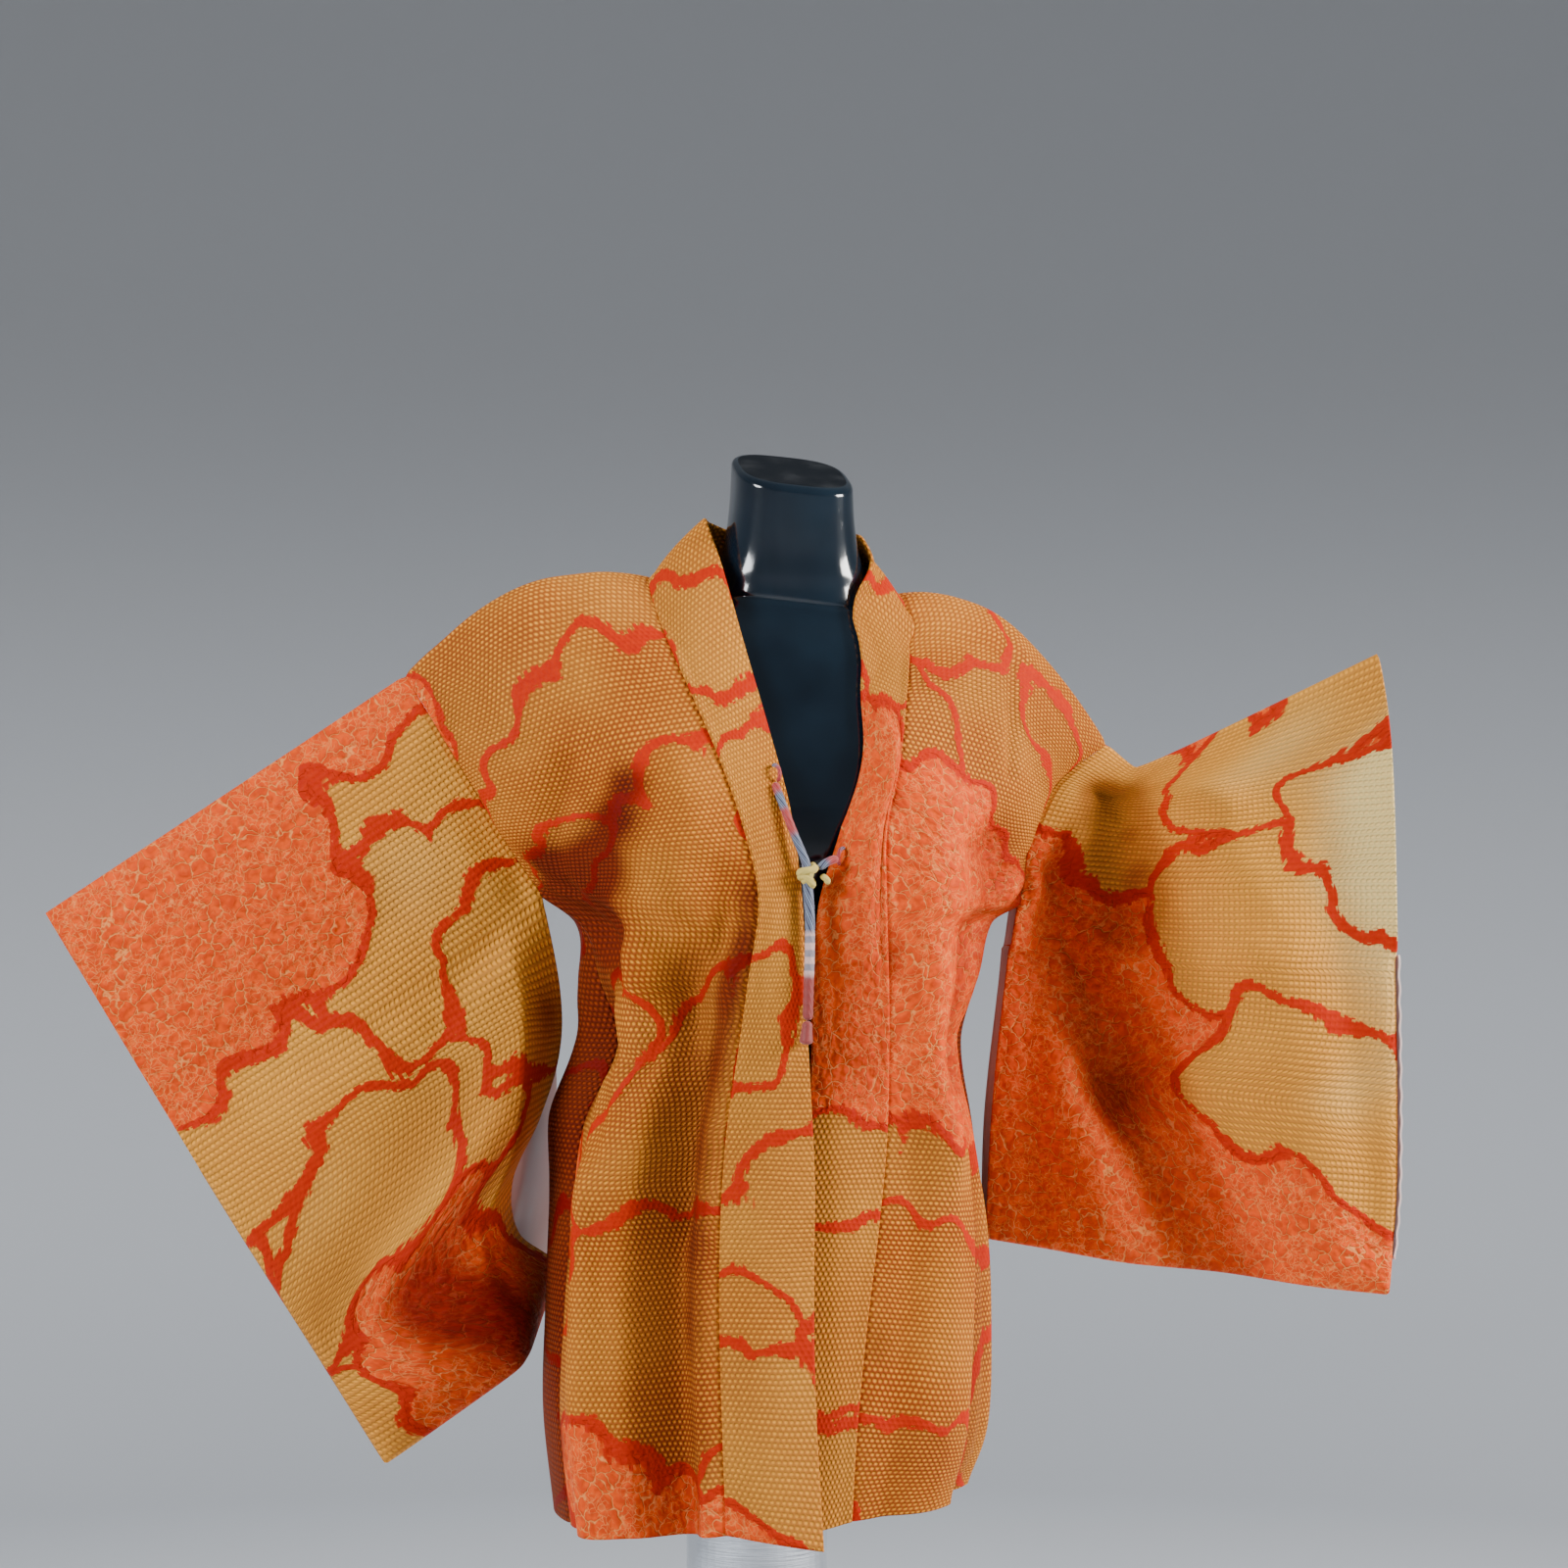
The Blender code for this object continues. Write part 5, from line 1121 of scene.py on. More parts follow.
def silk_finish(name, ribbed, paleness):
    """Tied and dyed silk: beads in rows, a frayed red line round every cloud, crinkled salmon ground, painted
    shade in fold valleys and painted shade and highlight from the lobes.
    """
    sizes, colours = bpy.context.scene.haori_sizes, bpy.context.scene.haori_colours
    finish = Finish(name, roughness=0.66)
    finish.shader.inputs["Specular IOR Level"].default_value = 0.10
    finish.shader.inputs["Sheen Weight"].default_value = 0.05
    finish.shader.inputs["Sheen Roughness"].default_value = 0.40
    finish.shader.inputs["Sheen Tint"].default_value = (1.0, 0.55, 0.20, 1.0)
    vector, across, along = finish.places()
    wander = finish.math("MULTIPLY", finish.math("SUBTRACT", finish.noise(vector, 16.0), 0.5), WANDER)
    along_bent = finish.math("ADD", along, wander)
    pitch_along = sizes.bead_pitch * (1.14 if ribbed else 0.90)
    row_count = finish.math("DIVIDE", along_bent, pitch_along)
    bead_count = finish.math("DIVIDE", across, sizes.bead_pitch)
    if not ribbed:
        odd = finish.math("PINGPONG", finish.math("FLOOR", row_count), 1.0)
        bead_count = finish.math("ADD", bead_count, finish.math("MULTIPLY", odd, 0.5))
    aside = finish.math("SUBTRACT", finish.math("FRACT", bead_count), 0.5)
    below = finish.math("SUBTRACT", finish.math("FRACT", row_count), 0.5)
    aside_square = finish.math("MULTIPLY", aside, aside)
    below_square = finish.math("MULTIPLY", below, below)
    if ribbed:
        aside_square = finish.math("MULTIPLY", aside_square, 0.55)
        below_square = finish.math("MULTIPLY", below_square, 1.25)
    reach = finish.math("SQRT", finish.math("ADD", aside_square, below_square))
    bead = finish.ramp(reach, BEAD_EDGE, BEAD_TOP)
    chance = finish.chance(bead_count, row_count)
    shade = finish.math("MULTIPLY", bead, finish.math("MULTIPLY_ADD", chance, 0.35, 0.65))
    gold = finish.mix(shade, (*colours.gold_gap, 1.0), (*colours.gold, 1.0))
    tone = finish.ramp(finish.attribute("tone"), -1.0, 1.0)
    gold = finish.mix(tone, finish.mix(0.16, gold, GOLD_SHADE), finish.mix(0.10, gold, GOLD_LIGHT))
    patch = finish.ramp(finish.noise(vector, PATCH_SCALE, 1.0), 0.35, 0.68)
    gold = finish.mix(finish.math("MULTIPLY", patch, 0.18), gold, GOLD_PATCH)
    gold = finish.mix(paleness, gold, GOLD_PALE)
    # Painted highlight: places with negative depth are lightened towards a bright yellow
    pale = finish.ramp(finish.attribute("depth"), -0.05, -0.85)
    gold = finish.mix(finish.math("MULTIPLY", pale, 0.62), gold, GOLD_PAINTED_HIGHLIGHT)
    bent = finish.node("ShaderNodeVectorMath", operation="ADD")
    warp = finish.node("ShaderNodeTexNoise")
    finish.put(warp.inputs["Vector"], vector)
    warp.inputs["Scale"].default_value = CRACKLE_WARP_SCALE
    warp.inputs["Detail"].default_value = 1.0
    pushed = finish.node("ShaderNodeVectorMath", operation="SCALE")
    finish.put(pushed.inputs[0], warp.outputs["Color"])
    pushed.inputs["Scale"].default_value = CRACKLE_WARP
    finish.put(bent.inputs[0], vector)
    finish.put(bent.inputs[1], pushed.outputs[0])
    crackle = finish.cells(bent.outputs[0], CRACKLE_SCALE)
    fine_crackle = finish.cells(bent.outputs[0], FINE_CRACKLE_SCALE)
    ridge = finish.ramp(crackle, 0.075, 0.0)
    fine_ridge = finish.ramp(fine_crackle, 0.085, 0.0)
    lifted = finish.ramp(finish.noise(vector, LIFTED_SCALE, 1.0), 0.42, 0.60)
    ridge = finish.math("MULTIPLY", ridge, finish.math("MULTIPLY_ADD", lifted, 0.75, 0.25))
    fine_ridge = finish.math("MULTIPLY", fine_ridge, finish.math("SUBTRACT", 1.0, lifted))
    mottle = finish.ramp(finish.noise(vector, MOTTLE_SCALE, 1.0), 0.32, 0.70)
    ground_colour = (*colours.salmon, 1.0)
    salmon = finish.mix(mottle, finish.mix(0.60, ground_colour, SALMON_SHADE), ground_colour)
    salmon = finish.mix(finish.math("MULTIPLY", ridge, 0.55), salmon, (*colours.crackle, 1.0))
    salmon = finish.mix(finish.math("MULTIPLY", fine_ridge, 0.38), salmon, (*colours.crackle, 1.0))
    ground = finish.ramp(finish.attribute("ground"), 0.40, 0.60)
    base = finish.mix(ground, gold, salmon)
    fray_across = finish.math("DIVIDE", across, FRAY_ACROSS)
    fray_along = finish.math("DIVIDE", along_bent, FRAY_ALONG)
    pick = finish.chance(fray_across, fray_along)
    pull = finish.math("MULTIPLY", finish.math("SUBTRACT", pick, 0.5), FRAY_REACH)
    edge = finish.math("ADD", finish.attribute("outline"), pull)
    half_line = sizes.line_width / 2.0
    line = finish.ramp(edge, half_line + LINE_SOFTNESS, half_line - LINE_SOFTNESS)
    line_shade = finish.mix(finish.noise(vector, 190.0, 1.0), (*colours.outline, 1.0), OUTLINE_LIGHT)
    base = finish.mix(line, base, line_shade)
    # Painted shade: fold valleys and places with positive depth are darkened with a deep red-brown, as if in
    # shade
    painted_shade = finish.ramp(finish.attribute("relief"), 0.002, -0.014)
    painted_shade_lobes = finish.ramp(finish.attribute("depth"), 0.05, 0.95)
    painted_shade = finish.math("MULTIPLY", painted_shade, 0.48)
    painted_shade = finish.math("MAXIMUM", painted_shade, finish.math("MULTIPLY", painted_shade_lobes, 0.95))
    painted_shade_colour = finish.mix(1.0, base, PAINTED_SHADE_TINT, "MULTIPLY")
    base = finish.mix(painted_shade, base, painted_shade_colour)
    finish.put(finish.shader.inputs["Base Color"], base)
    beads_here = finish.math("MULTIPLY", bead, finish.math("SUBTRACT", 1.0, ground))
    beads_here = finish.math("MULTIPLY", beads_here, finish.math("MULTIPLY_ADD", line, -0.75, 1.0))
    crinkle = finish.math("MULTIPLY_ADD", ridge, 0.55, finish.math("MULTIPLY", mottle, 0.9))
    crinkle_here = finish.math("MULTIPLY", crinkle, ground)
    height = finish.math("ADD", beads_here, crinkle_here)
    puff = finish.ramp(finish.attribute("outline"), 0.0, PUFF_WIDTH)
    height = finish.math("ADD", height, finish.math("MULTIPLY", puff, 0.8))
    finish.bump(height, SILK_RELIEF, 0.95)
    return finish.material


def lining_finish():
    """Plain pale silk with a fine weave, and painted shade of soft folds in its colour."""
    finish = Finish("lining_silk", roughness=0.42)
    finish.shader.inputs["Sheen Weight"].default_value = 0.15
    place = finish.object_places(1.0)
    base = (*bpy.context.scene.haori_colours.lining, 1.0)
    # Painted shade: soft noise darkens the lining in patches, standing in for the shade of soft folds
    mottle = finish.ramp(finish.noise(place, 22.0, 3.0), 0.3, 0.75)
    colour = finish.mix(mottle, finish.mix(0.30, base, (0.78, 0.40, 0.34, 1.0)), base)
    finish.put(finish.shader.inputs["Base Color"], colour)
    weave = finish.noise(finish.object_places((900.0, 900.0, 420.0)), 1.0, 2.0)
    finish.bump(weave, 0.00025, 0.5)
    return finish.material


def braid_finish(name, knot):
    """Braided tie: strands of several colours, red where it leaves the loops and at its end."""
    finish = Finish(name, roughness=0.55)
    finish.shader.inputs["Sheen Weight"].default_value = 0.3
    strand = finish.attribute("strand")
    along = finish.attribute("along")
    light = finish.ramp(finish.math("FRACT", finish.math("MULTIPLY", strand, 2.0)), 0.40, 0.60)
    if knot:
        colour = finish.mix(light, (0.32, 0.17, 0.020, 1.0), (0.55, 0.35, 0.06, 1.0))
        colour = finish.mix(finish.ramp(strand, 0.86, 0.92), colour, (0.42, 0.10, 0.05, 1.0))
    else:
        cool = finish.mix(light, (0.018, 0.030, 0.075, 1.0), (0.22, 0.29, 0.41, 1.0))
        warm = finish.mix(light, (0.34, 0.010, 0.012, 1.0), (0.55, 0.045, 0.040, 1.0))
        ring = finish.ramp(finish.math("PINGPONG", finish.math("MULTIPLY", along, 190.0), 1.0), 0.35, 0.65)
        rings = finish.mix(ring, (0.30, 0.26, 0.30, 1.0), (0.78, 0.50, 0.46, 1.0))
        dark_end = (0.30, 0.025, 0.02, 1.0)
        bands = ((0.006, 0.012, cool), (0.020, 0.026, warm), (0.040, 0.048, cool),
                 (0.118, 0.124, rings), (0.150, 0.158, dark_end))
        colour = warm
        for band_start, band_end, band_colour in bands:
            colour = finish.mix(finish.ramp(along, band_start, band_end), colour, band_colour)
    fleck = finish.noise(finish.object_places(900.0), 1.0, 2.0)
    colour = finish.mix(finish.math("MULTIPLY", fleck, 0.35), colour, (0.08, 0.03, 0.03, 1.0))
    finish.put(finish.shader.inputs["Base Color"], colour)
    finish.bump(finish.noise(finish.object_places(1400.0), 1.0, 2.0), 0.0003, 0.7)
    return finish.material


def gloss_finish():
    """Near-black lacquered form with faint ripples and dust."""
    finish = Finish("form_lacquer", roughness=0.14)
    finish.shader.inputs["Coat Weight"].default_value = 0.5
    finish.shader.inputs["Coat Roughness"].default_value = 0.06
    finish.shader.inputs["Specular IOR Level"].default_value = 0.6
    place = finish.object_places(1.0)
    dark = (*bpy.context.scene.haori_colours.form, 1.0)
    cloud = finish.ramp(finish.noise(place, 7.0, 3.0), 0.3, 0.75)
    finish.put(finish.shader.inputs["Base Color"], finish.mix(cloud, dark, (0.008, 0.020, 0.034, 1.0)))
    dust = finish.ramp(finish.noise(place, 260.0, 2.0), 0.60, 0.80)
    finish.put(finish.shader.inputs["Roughness"], finish.math("MULTIPLY_ADD", dust, 0.10, 0.13))
    finish.bump(finish.noise(place, 14.0, 1.0), 0.0012, 0.25)
    return finish.material


def plain_finish(name, colour, roughness, metallic, grain):
    """Stand part or neck plate: moulded black, chrome or painted steel with fine grain and wear."""
    finish = Finish(name, roughness, metallic)
    place = finish.object_places(1.0)
    wear = finish.ramp(finish.noise(place, 34.0, 4.0), 0.42, 0.72)
    lighter = tuple(min(1.0, part * 1.25 + 0.01) for part in colour)
    finish.put(finish.shader.inputs["Base Color"], finish.mix(wear, (*colour, 1.0), (*lighter, 1.0)))
    rougher = finish.math("MULTIPLY_ADD", wear, roughness * 0.4, roughness)
    finish.put(finish.shader.inputs["Roughness"], rougher)
    finish.bump(finish.noise(finish.object_places(grain), 1.0, 2.0), 0.0002, 0.35)
    return finish.material


def shared_finish(name, make, *values):
    """Material of this name, made once."""
    found = bpy.data.materials.get(name)
    return found if found else make(*values)


def place_piece(made, nodes):
    """A piece that stands for CAD nodes and rides with the part."""
    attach(made, "root")
    if nodes:
        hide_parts(*nodes)
    return made


def facing(points, row, column, direction):
    """Which way a grid's normals have to turn, so that they point along a direction there."""
    neighbours = points[row - 1:row + 2, column - 1:column + 2]
    normal = grid_normals(neighbours, False)[1, 1]
    return 1.0 if normal @ np.array(direction) > 0 else -1.0


def sunk_seams(points, outward, distances, ring=False, depth=0.0013, width=0.0035):
    """Points pressed in along sewn seams."""
    normals = grid_normals(points, ring) * outward
    return points - normals * (depth * np.exp(-(distances / width) ** 2))[..., None]


def silk_values(clouds, depths, relief, across, along):
    """Values that the silk finish reads over a grid: its pattern, relief, and the painted shade and
    highlight.
    """
    outline, ground, tone = cloud_layers(clouds, across, along)
    # Painted shade and painted highlight at each place, kept in the depth attribute
    depth = painted_shade_and_highlight(depths, across, along)
    return {"outline": outline, "ground": ground, "tone": tone, "relief": relief, "depth": depth}


def lined_silk(name, ribbed, paleness):
    """Outer silk and the plain lining behind it."""
    silk = shared_finish(name, silk_finish, name, ribbed, paleness)
    return [silk, shared_finish("lining_silk", lining_finish)]


def build_body(side):
    """Body panel from the back hem over the shoulder to the front hem."""
    across = finer_near_ends(BODY_GRID[0])
    along = np.linspace(-1.0, 1.0, BODY_GRID[1])
    points, relief = body_points(side, across, along)
    outward = facing(points, 450, 60, TO_FRONT)
    lengths = cloth_lengths(points)
    from_side = lengths[:, -1:] - lengths
    points = sunk_seams(points, outward, np.minimum(lengths, from_side))
    grid_across, grid_along = np.meshgrid(across, along)
    places = (grid_across * BODY_CLOTH_WIDTH, grid_along * PANEL_LENGTH)
    clouds = CLOUDS_BODY_RIGHT if side == "right" else CLOUDS_BODY_LEFT
    clouds = clouds[:1] + spread_clouds(-0.10, -0.80, BODY_CLOTH_WIDTH) + clouds[1:]
    # Painted shade lobes for this panel
    depths = PAINTED_SHADE_BODY_RIGHT if side == "right" else PAINTED_SHADE_BODY_LEFT
    attributes = silk_values(clouds, depths, relief, *places)
    slots = lined_silk("silk_body", False, 0.0)
    thickness = bpy.context.scene.haori_sizes.cloth_thickness
    made = cloth_object(
        "body_" + side + "_silk", points, outward, thickness, attributes, slots,
        (from_side, grid_along * PANEL_LENGTH))
    place_piece(made, ["body_" + side])


def build_gusset(side):
    """Gusset between the front and the back, narrow under the arm."""
    across = finer_near_ends(GUSSET_GRID[0])
    along = np.linspace(UNDERARM, 1.0, GUSSET_GRID[1])
    points, relief = gusset_points(side, across, along)
    outward = facing(points, 120, 12, (-1.0 if side == "right" else 1.0, 0.0, 0.0))
    lengths = cloth_lengths(points)
    grid_along = np.broadcast_to(along[:, None], lengths.shape) * PANEL_LENGTH
    points = sunk_seams(points, outward, np.minimum(lengths, lengths[:, -1:] - lengths))
    attributes = silk_values(spread_clouds(0.26, 0.80, 0.10), [], relief, lengths, grid_along)
    # Painted shade: the whole gusset is darkened as if in shade
    attributes["depth"] = np.full(relief.shape, PAINTED_SHADE_GUSSET)
    slots = lined_silk("silk_body", False, 0.0)
    thickness = bpy.context.scene.haori_sizes.cloth_thickness
    made = cloth_object(
        "gusset_" + side + "_silk", points, outward, thickness, attributes, slots, (lengths, grid_along))
    place_piece(made, ["gusset_" + side])


def build_sleeve(side):
    """Sleeve as a bag folded along its top, open at the armhole end and at the hand."""
    across = finer_near_ends(SLEEVE_GRID[0], 0.35)
    down = finer_near_ends(SLEEVE_GRID[1], 0.6)
    depths = np.concatenate([down, down[-2:0:-1]])
    fronts = np.arange(len(depths)) < len(down)
    points, relief = sleeve_points(side, across, depths, fronts)
    outward = facing(points, 90, 70, TO_FRONT)
    lengths = cloth_lengths(points)
    sewn = np.where(depths[:, None] < SLEEVE_UNDERARM + 0.02, lengths, 1.0)
    points = sunk_seams(points, outward, sewn, ring=True)
    grid_down = np.broadcast_to((depths * np.where(fronts, 1.0, -1.0))[:, None], lengths.shape) * SLEEVE_DEPTH
    front_clouds = CLOUDS_SLEEVE_RIGHT if side == "right" else CLOUDS_SLEEVE_LEFT
    clouds = front_clouds[:1] + spread_clouds(-0.12, -0.52, SLEEVE_WIDTH) + front_clouds[1:]
    # Painted shade and painted highlight lobes for this sleeve
    painted_shade_and_highlight_places = PAINTED_SHADE_AND_HIGHLIGHT_SLEEVE_RIGHT if side == "right" else PAINTED_SHADE_AND_HIGHLIGHT_SLEEVE_LEFT
    attributes = silk_values(clouds, painted_shade_and_highlight_places, relief, lengths, grid_down)
    slots = lined_silk("silk_sleeve", True, 0.34)
    thickness = bpy.context.scene.haori_sizes.cloth_thickness
    made = cloth_object(
        "sleeve_" + side + "_silk", points, outward, thickness, attributes, slots, (lengths, grid_down),
        turn_row=len(down) - 1)
    place_piece(made, ["sleeve_" + side])


def build_collar(side):
    """Half of the folded collar, from the centre back of the neck to the front hem."""
    near_fold = 1.0 - 0.14 * (1.0 - ease(np.linspace(0.0, 1.0, 10)) ** 0.7)
    across = np.concatenate([
        np.linspace(-COLLAR_UNDER_SEAM, 0.10, 7)[:-1], np.linspace(0.10, 0.86, 17)[:-1], near_fold])
    across = across[:-1] if len(across) % 2 == 0 else across
    across[-1] = 1.0
    along = np.linspace(CENTRE_BACK_NECK, 1.0, COLLAR_ROWS)
    points, fold = collar_points(side, across, along)
    outward = facing(points, 250, 16, TO_FRONT)
    grid_across, grid_along = np.meshgrid(across, along)
    normals = grid_normals(points, False) * outward
    near_seam = np.clip(1.0 - np.abs(grid_across) / 0.10, 0.0, 1.0)
    points = points + normals * (COLLAR_LIFT * near_seam)[..., None]
    rounding = bpy.context.scene.haori_sizes.collar_thickness / 2.0
    from_fold = np.minimum((1.0 - grid_across) * BAND_WIDTH / rounding, 1.0)
    from_seam = np.minimum((grid_across + COLLAR_UNDER_SEAM) * BAND_WIDTH / rounding, 1.0)
    profile = np.minimum(arc(from_fold), 0.35 + 0.65 * arc(from_seam))
    thickness = bpy.context.scene.haori_sizes.collar_thickness * np.maximum(profile, 0.08)
    clouds = CLOUDS_COLLAR_RIGHT if side == "right" else CLOUDS_COLLAR_LEFT
    places = (grid_across * BAND_WIDTH, grid_along * PANEL_LENGTH)
    # Painted shade lobes on the left collar half, none on the right
    attributes = silk_values(clouds, [] if side == "right" else PAINTED_SHADE_COLLAR_LEFT, fold, *places)
    silk = shared_finish("silk_collar_band", silk_finish, "silk_collar_band", False, 0.16)
    made = cloth_object(
        "collar_" + side + "_silk", points, outward, thickness, attributes, [silk, silk], places)
    place_piece(made, ["collar_" + side])


def build_lining_right():
    """Lining seen in the open inner edge of the right sleeve."""
    across = np.linspace(0.012, 4.0 / 12.0, LINING_RIGHT_GRID[0])
    depths = np.linspace(0.52, 0.93, LINING_RIGHT_GRID[1])
    points = sleeve_points("right", across, depths, np.zeros(len(depths), dtype=bool))[0]
    outward = facing(points, 60, 20, TO_FRONT)
    points = points + grid_normals(points, False) * outward * 0.0020
    ripple = 0.0009 * np.sin(depths * 75.0)[:, None] * ease((across[None, :] - 0.02) / 0.1)
    points[..., 1] -= ripple
    lengths = cloth_lengths(points)
    grid_down = np.broadcast_to(depths[:, None], lengths.shape) * SLEEVE_DEPTH
    lining = shared_finish("lining_silk", lining_finish)
    made = cloth_object(
        "lining_right_silk", points, outward, 0.0010, {}, [lining, lining], (lengths, grid_down))
    place_piece(made, ["lining_right"])


def build_lining_left():
    """Lining edge that shows along the sewn part of the left cuff."""
    depths = np.linspace(0.47, 0.94, LINING_LEFT_GRID[1])
    place = curve(CUFF_LEFT, depths)
    half = np.linspace(-1.0, 1.0, LINING_LEFT_GRID[0])
    grid_half, grid_depth = np.meshgrid(half, depths)
    points = np.repeat(place[:, None, :], len(half), axis=1)
    swell = 0.0018 + 0.0012 * (1.0 - grid_half ** 2) + 0.0005 * np.sin(grid_depth * 160.0)
    points[..., 0] += swell
    points[..., 1] += 0.0066 * grid_half
    outward = facing(points, 60, 8, (1.0, 0.0, 0.0))
    lengths = cloth_lengths(points)
    lining = shared_finish("lining_silk", lining_finish)
    made = cloth_object(
        "lining_left_silk", points, outward, 0.0014, {}, [lining, lining],
        (lengths, grid_depth * SLEEVE_DEPTH))
    place_piece(made, ["lining_left"])


# Tie: points of its route, as in the solids
TIE_RADIUS = 0.0032
TAIL_RADIUS = 0.0040
LOOP_RADIUS = 0.0016
LOOP_SIZE = 0.0065
LOOP_LIFT = 0.0007
KNOT_PLACE = (0.015, -0.1425, 1.127)
KNOT_SIZE = (0.0085, 0.0070, 0.0105)
TIE_RIGHT = [
    (-0.0066, -0.1212, 1.1970), (-0.001, -0.1300, 1.178), (0.006, -0.1375, 1.157), (0.0135, -0.1418, 1.1374),
]
TIE_LEFT = [(0.0392, -0.1386, 1.1394), (0.031, -0.1412, 1.1370), (0.0236, -0.1416, 1.1320)]
TAIL = [
    (0.0153, -0.1432, 1.1168), (0.0160, -0.1465, 1.095), (0.0155, -0.1490, 1.070),
    (0.0145, -0.1505, 1.045), (0.0136, -0.1512, 1.0174),
]
TASSEL = [
    (0.0135, -0.1514, 1.0168, 0.0042), (0.0128, -0.1520, 1.010, 0.0046), (0.012, -0.1525, 0.999, 0.0062),
]
SHORT_END = [(0.0248, -0.1435, 1.1262), (0.0285, -0.1447, 1.1245), (0.0310, -0.1453, 1.1200)]
THROUGH_KNOT = [(0.0145, -0.1430, 1.1300), (0.0150, -0.1432, 1.1230)]
KNOT_TURNS = ((0.42, 1.0, 0.0036), (-0.62, 0.90, -0.0038), (1.35, 0.80, 0.0))
KNOT_CORD_RADIUS = 0.0031
LOOPS = (("right", 0.84, 0.255), ("left", 0.80, 0.325))
ROPE_CORNERS = 32
ROPE_TURN = 430.0
ROPE_END = 0.003


def smooth_route(points, step):
    """Points of a smooth line through the given ones, about a step apart."""
    points = np.array(points, float)
    places = np.concatenate([[0.0], np.cumsum(np.linalg.norm(np.diff(points, axis=0), axis=1))])
    count = max(4, round(places[-1] / step))
    return curve(np.column_stack([places, points]), np.linspace(0.0, places[-1], count + 1))


def rope_object(name, route, radii, strands, turn, start=0.0):
    """Twisted cord of round strands along a route, with its ends closed."""
    count = len(route)
    steps = np.linalg.norm(np.diff(route, axis=0), axis=1)
    places = np.concatenate([[0.0], np.cumsum(steps)])
    forward = np.gradient(route, axis=0)
    forward /= np.linalg.norm(forward, axis=1, keepdims=True)
    side = np.cross(forward, np.array([0.0, 1.0, 0.2]))
    side /= np.linalg.norm(side, axis=1, keepdims=True)
    other = np.cross(forward, side)
    angles = np.linspace(0.0, 2.0 * math.pi, ROPE_CORNERS, endpoint=False)
    radii = np.broadcast_to(radii, (count,))
    rounding = np.minimum(arc(places / ROPE_END), arc((places[-1] - places) / ROPE_END))
    rounding = np.maximum(rounding, 0.35)
    phase = angles[None, :] * strands / 2.0 + places[:, None] * turn
    lobes = 0.84 + 0.16 * np.abs(np.cos(phase))
    reach = radii[:, None] * lobes * rounding[:, None]
    ring = np.cos(angles)[None, :, None] * side[:, None, :]
    ring = ring + np.sin(angles)[None, :, None] * other[:, None, :]
    vertices = route[:, None, :] + ring * reach[..., None]
    faces = tube_faces(count, ROPE_CORNERS)
    mesh = bpy.data.meshes.new(name)
    mesh.from_pydata(vertices.reshape(-1, 3).tolist(), [], faces)
    work = bmesh.new()
    work.from_mesh(mesh)
    bmesh.ops.recalc_face_normals(work, faces=work.faces)
    work.to_mesh(mesh)
    work.free()
    mesh.polygons.foreach_set("use_smooth", np.ones(len(faces), dtype=bool))
    point_values(mesh, "strand", np.abs(np.mod(phase / math.pi + 0.5, 2.0) - 1.0))
    point_values(mesh, "along", np.broadcast_to((start + places)[:, None], phase.shape))
    return linked_object(name, mesh)


def loop_route(side, across, along):
    """Half ring standing off the collar's face."""
    places = np.array([across - 0.03, across, across + 0.03])
    rows = np.array([along - 0.006, along, along + 0.006])
    grid = collar_points(side, places, rows)[0]
    centre, over, drop = grid[1, 1], grid[1, 2] - grid[1, 0], grid[2, 1] - grid[0, 1]
    out = np.cross(over, drop)
    out /= np.linalg.norm(out)
    out = -out if out[1] > 0 else out
    drop /= np.linalg.norm(drop)
    angles = np.linspace(0.0, math.pi, 25)[:, None]
    route = centre + drop * (LOOP_SIZE * np.cos(angles)) + out * (LOOP_SIZE * np.sin(angles))
    return route + out * (COLLAR_CLOTH / 2.0 + LOOP_LIFT)


def knot_object(name):
    """Knot of three round turns crossing over each other, each a twisted cord."""
    turns = []
    for tilt, scale, lift in KNOT_TURNS:
        angles = np.linspace(0.0, 2.0 * math.pi, 49)
        flat = np.stack([
            np.cos(angles) * KNOT_SIZE[0] * 0.72 * scale,
            np.sin(angles) * KNOT_SIZE[1] * 0.70 * scale,
            np.sin(2.0 * angles + tilt) * 0.0010,
        ], axis=-1)
        turned = flat.copy()
        turned[:, 0] = flat[:, 0] * math.cos(tilt) - flat[:, 2] * math.sin(tilt)
        turned[:, 2] = flat[:, 0] * math.sin(tilt) + flat[:, 2] * math.cos(tilt)
        turned[:, 2] += lift
        route = turned + np.array(KNOT_PLACE)
        turns.append(rope_object(name + "_turn", route, KNOT_CORD_RADIUS, 6, 520.0))
    return turns


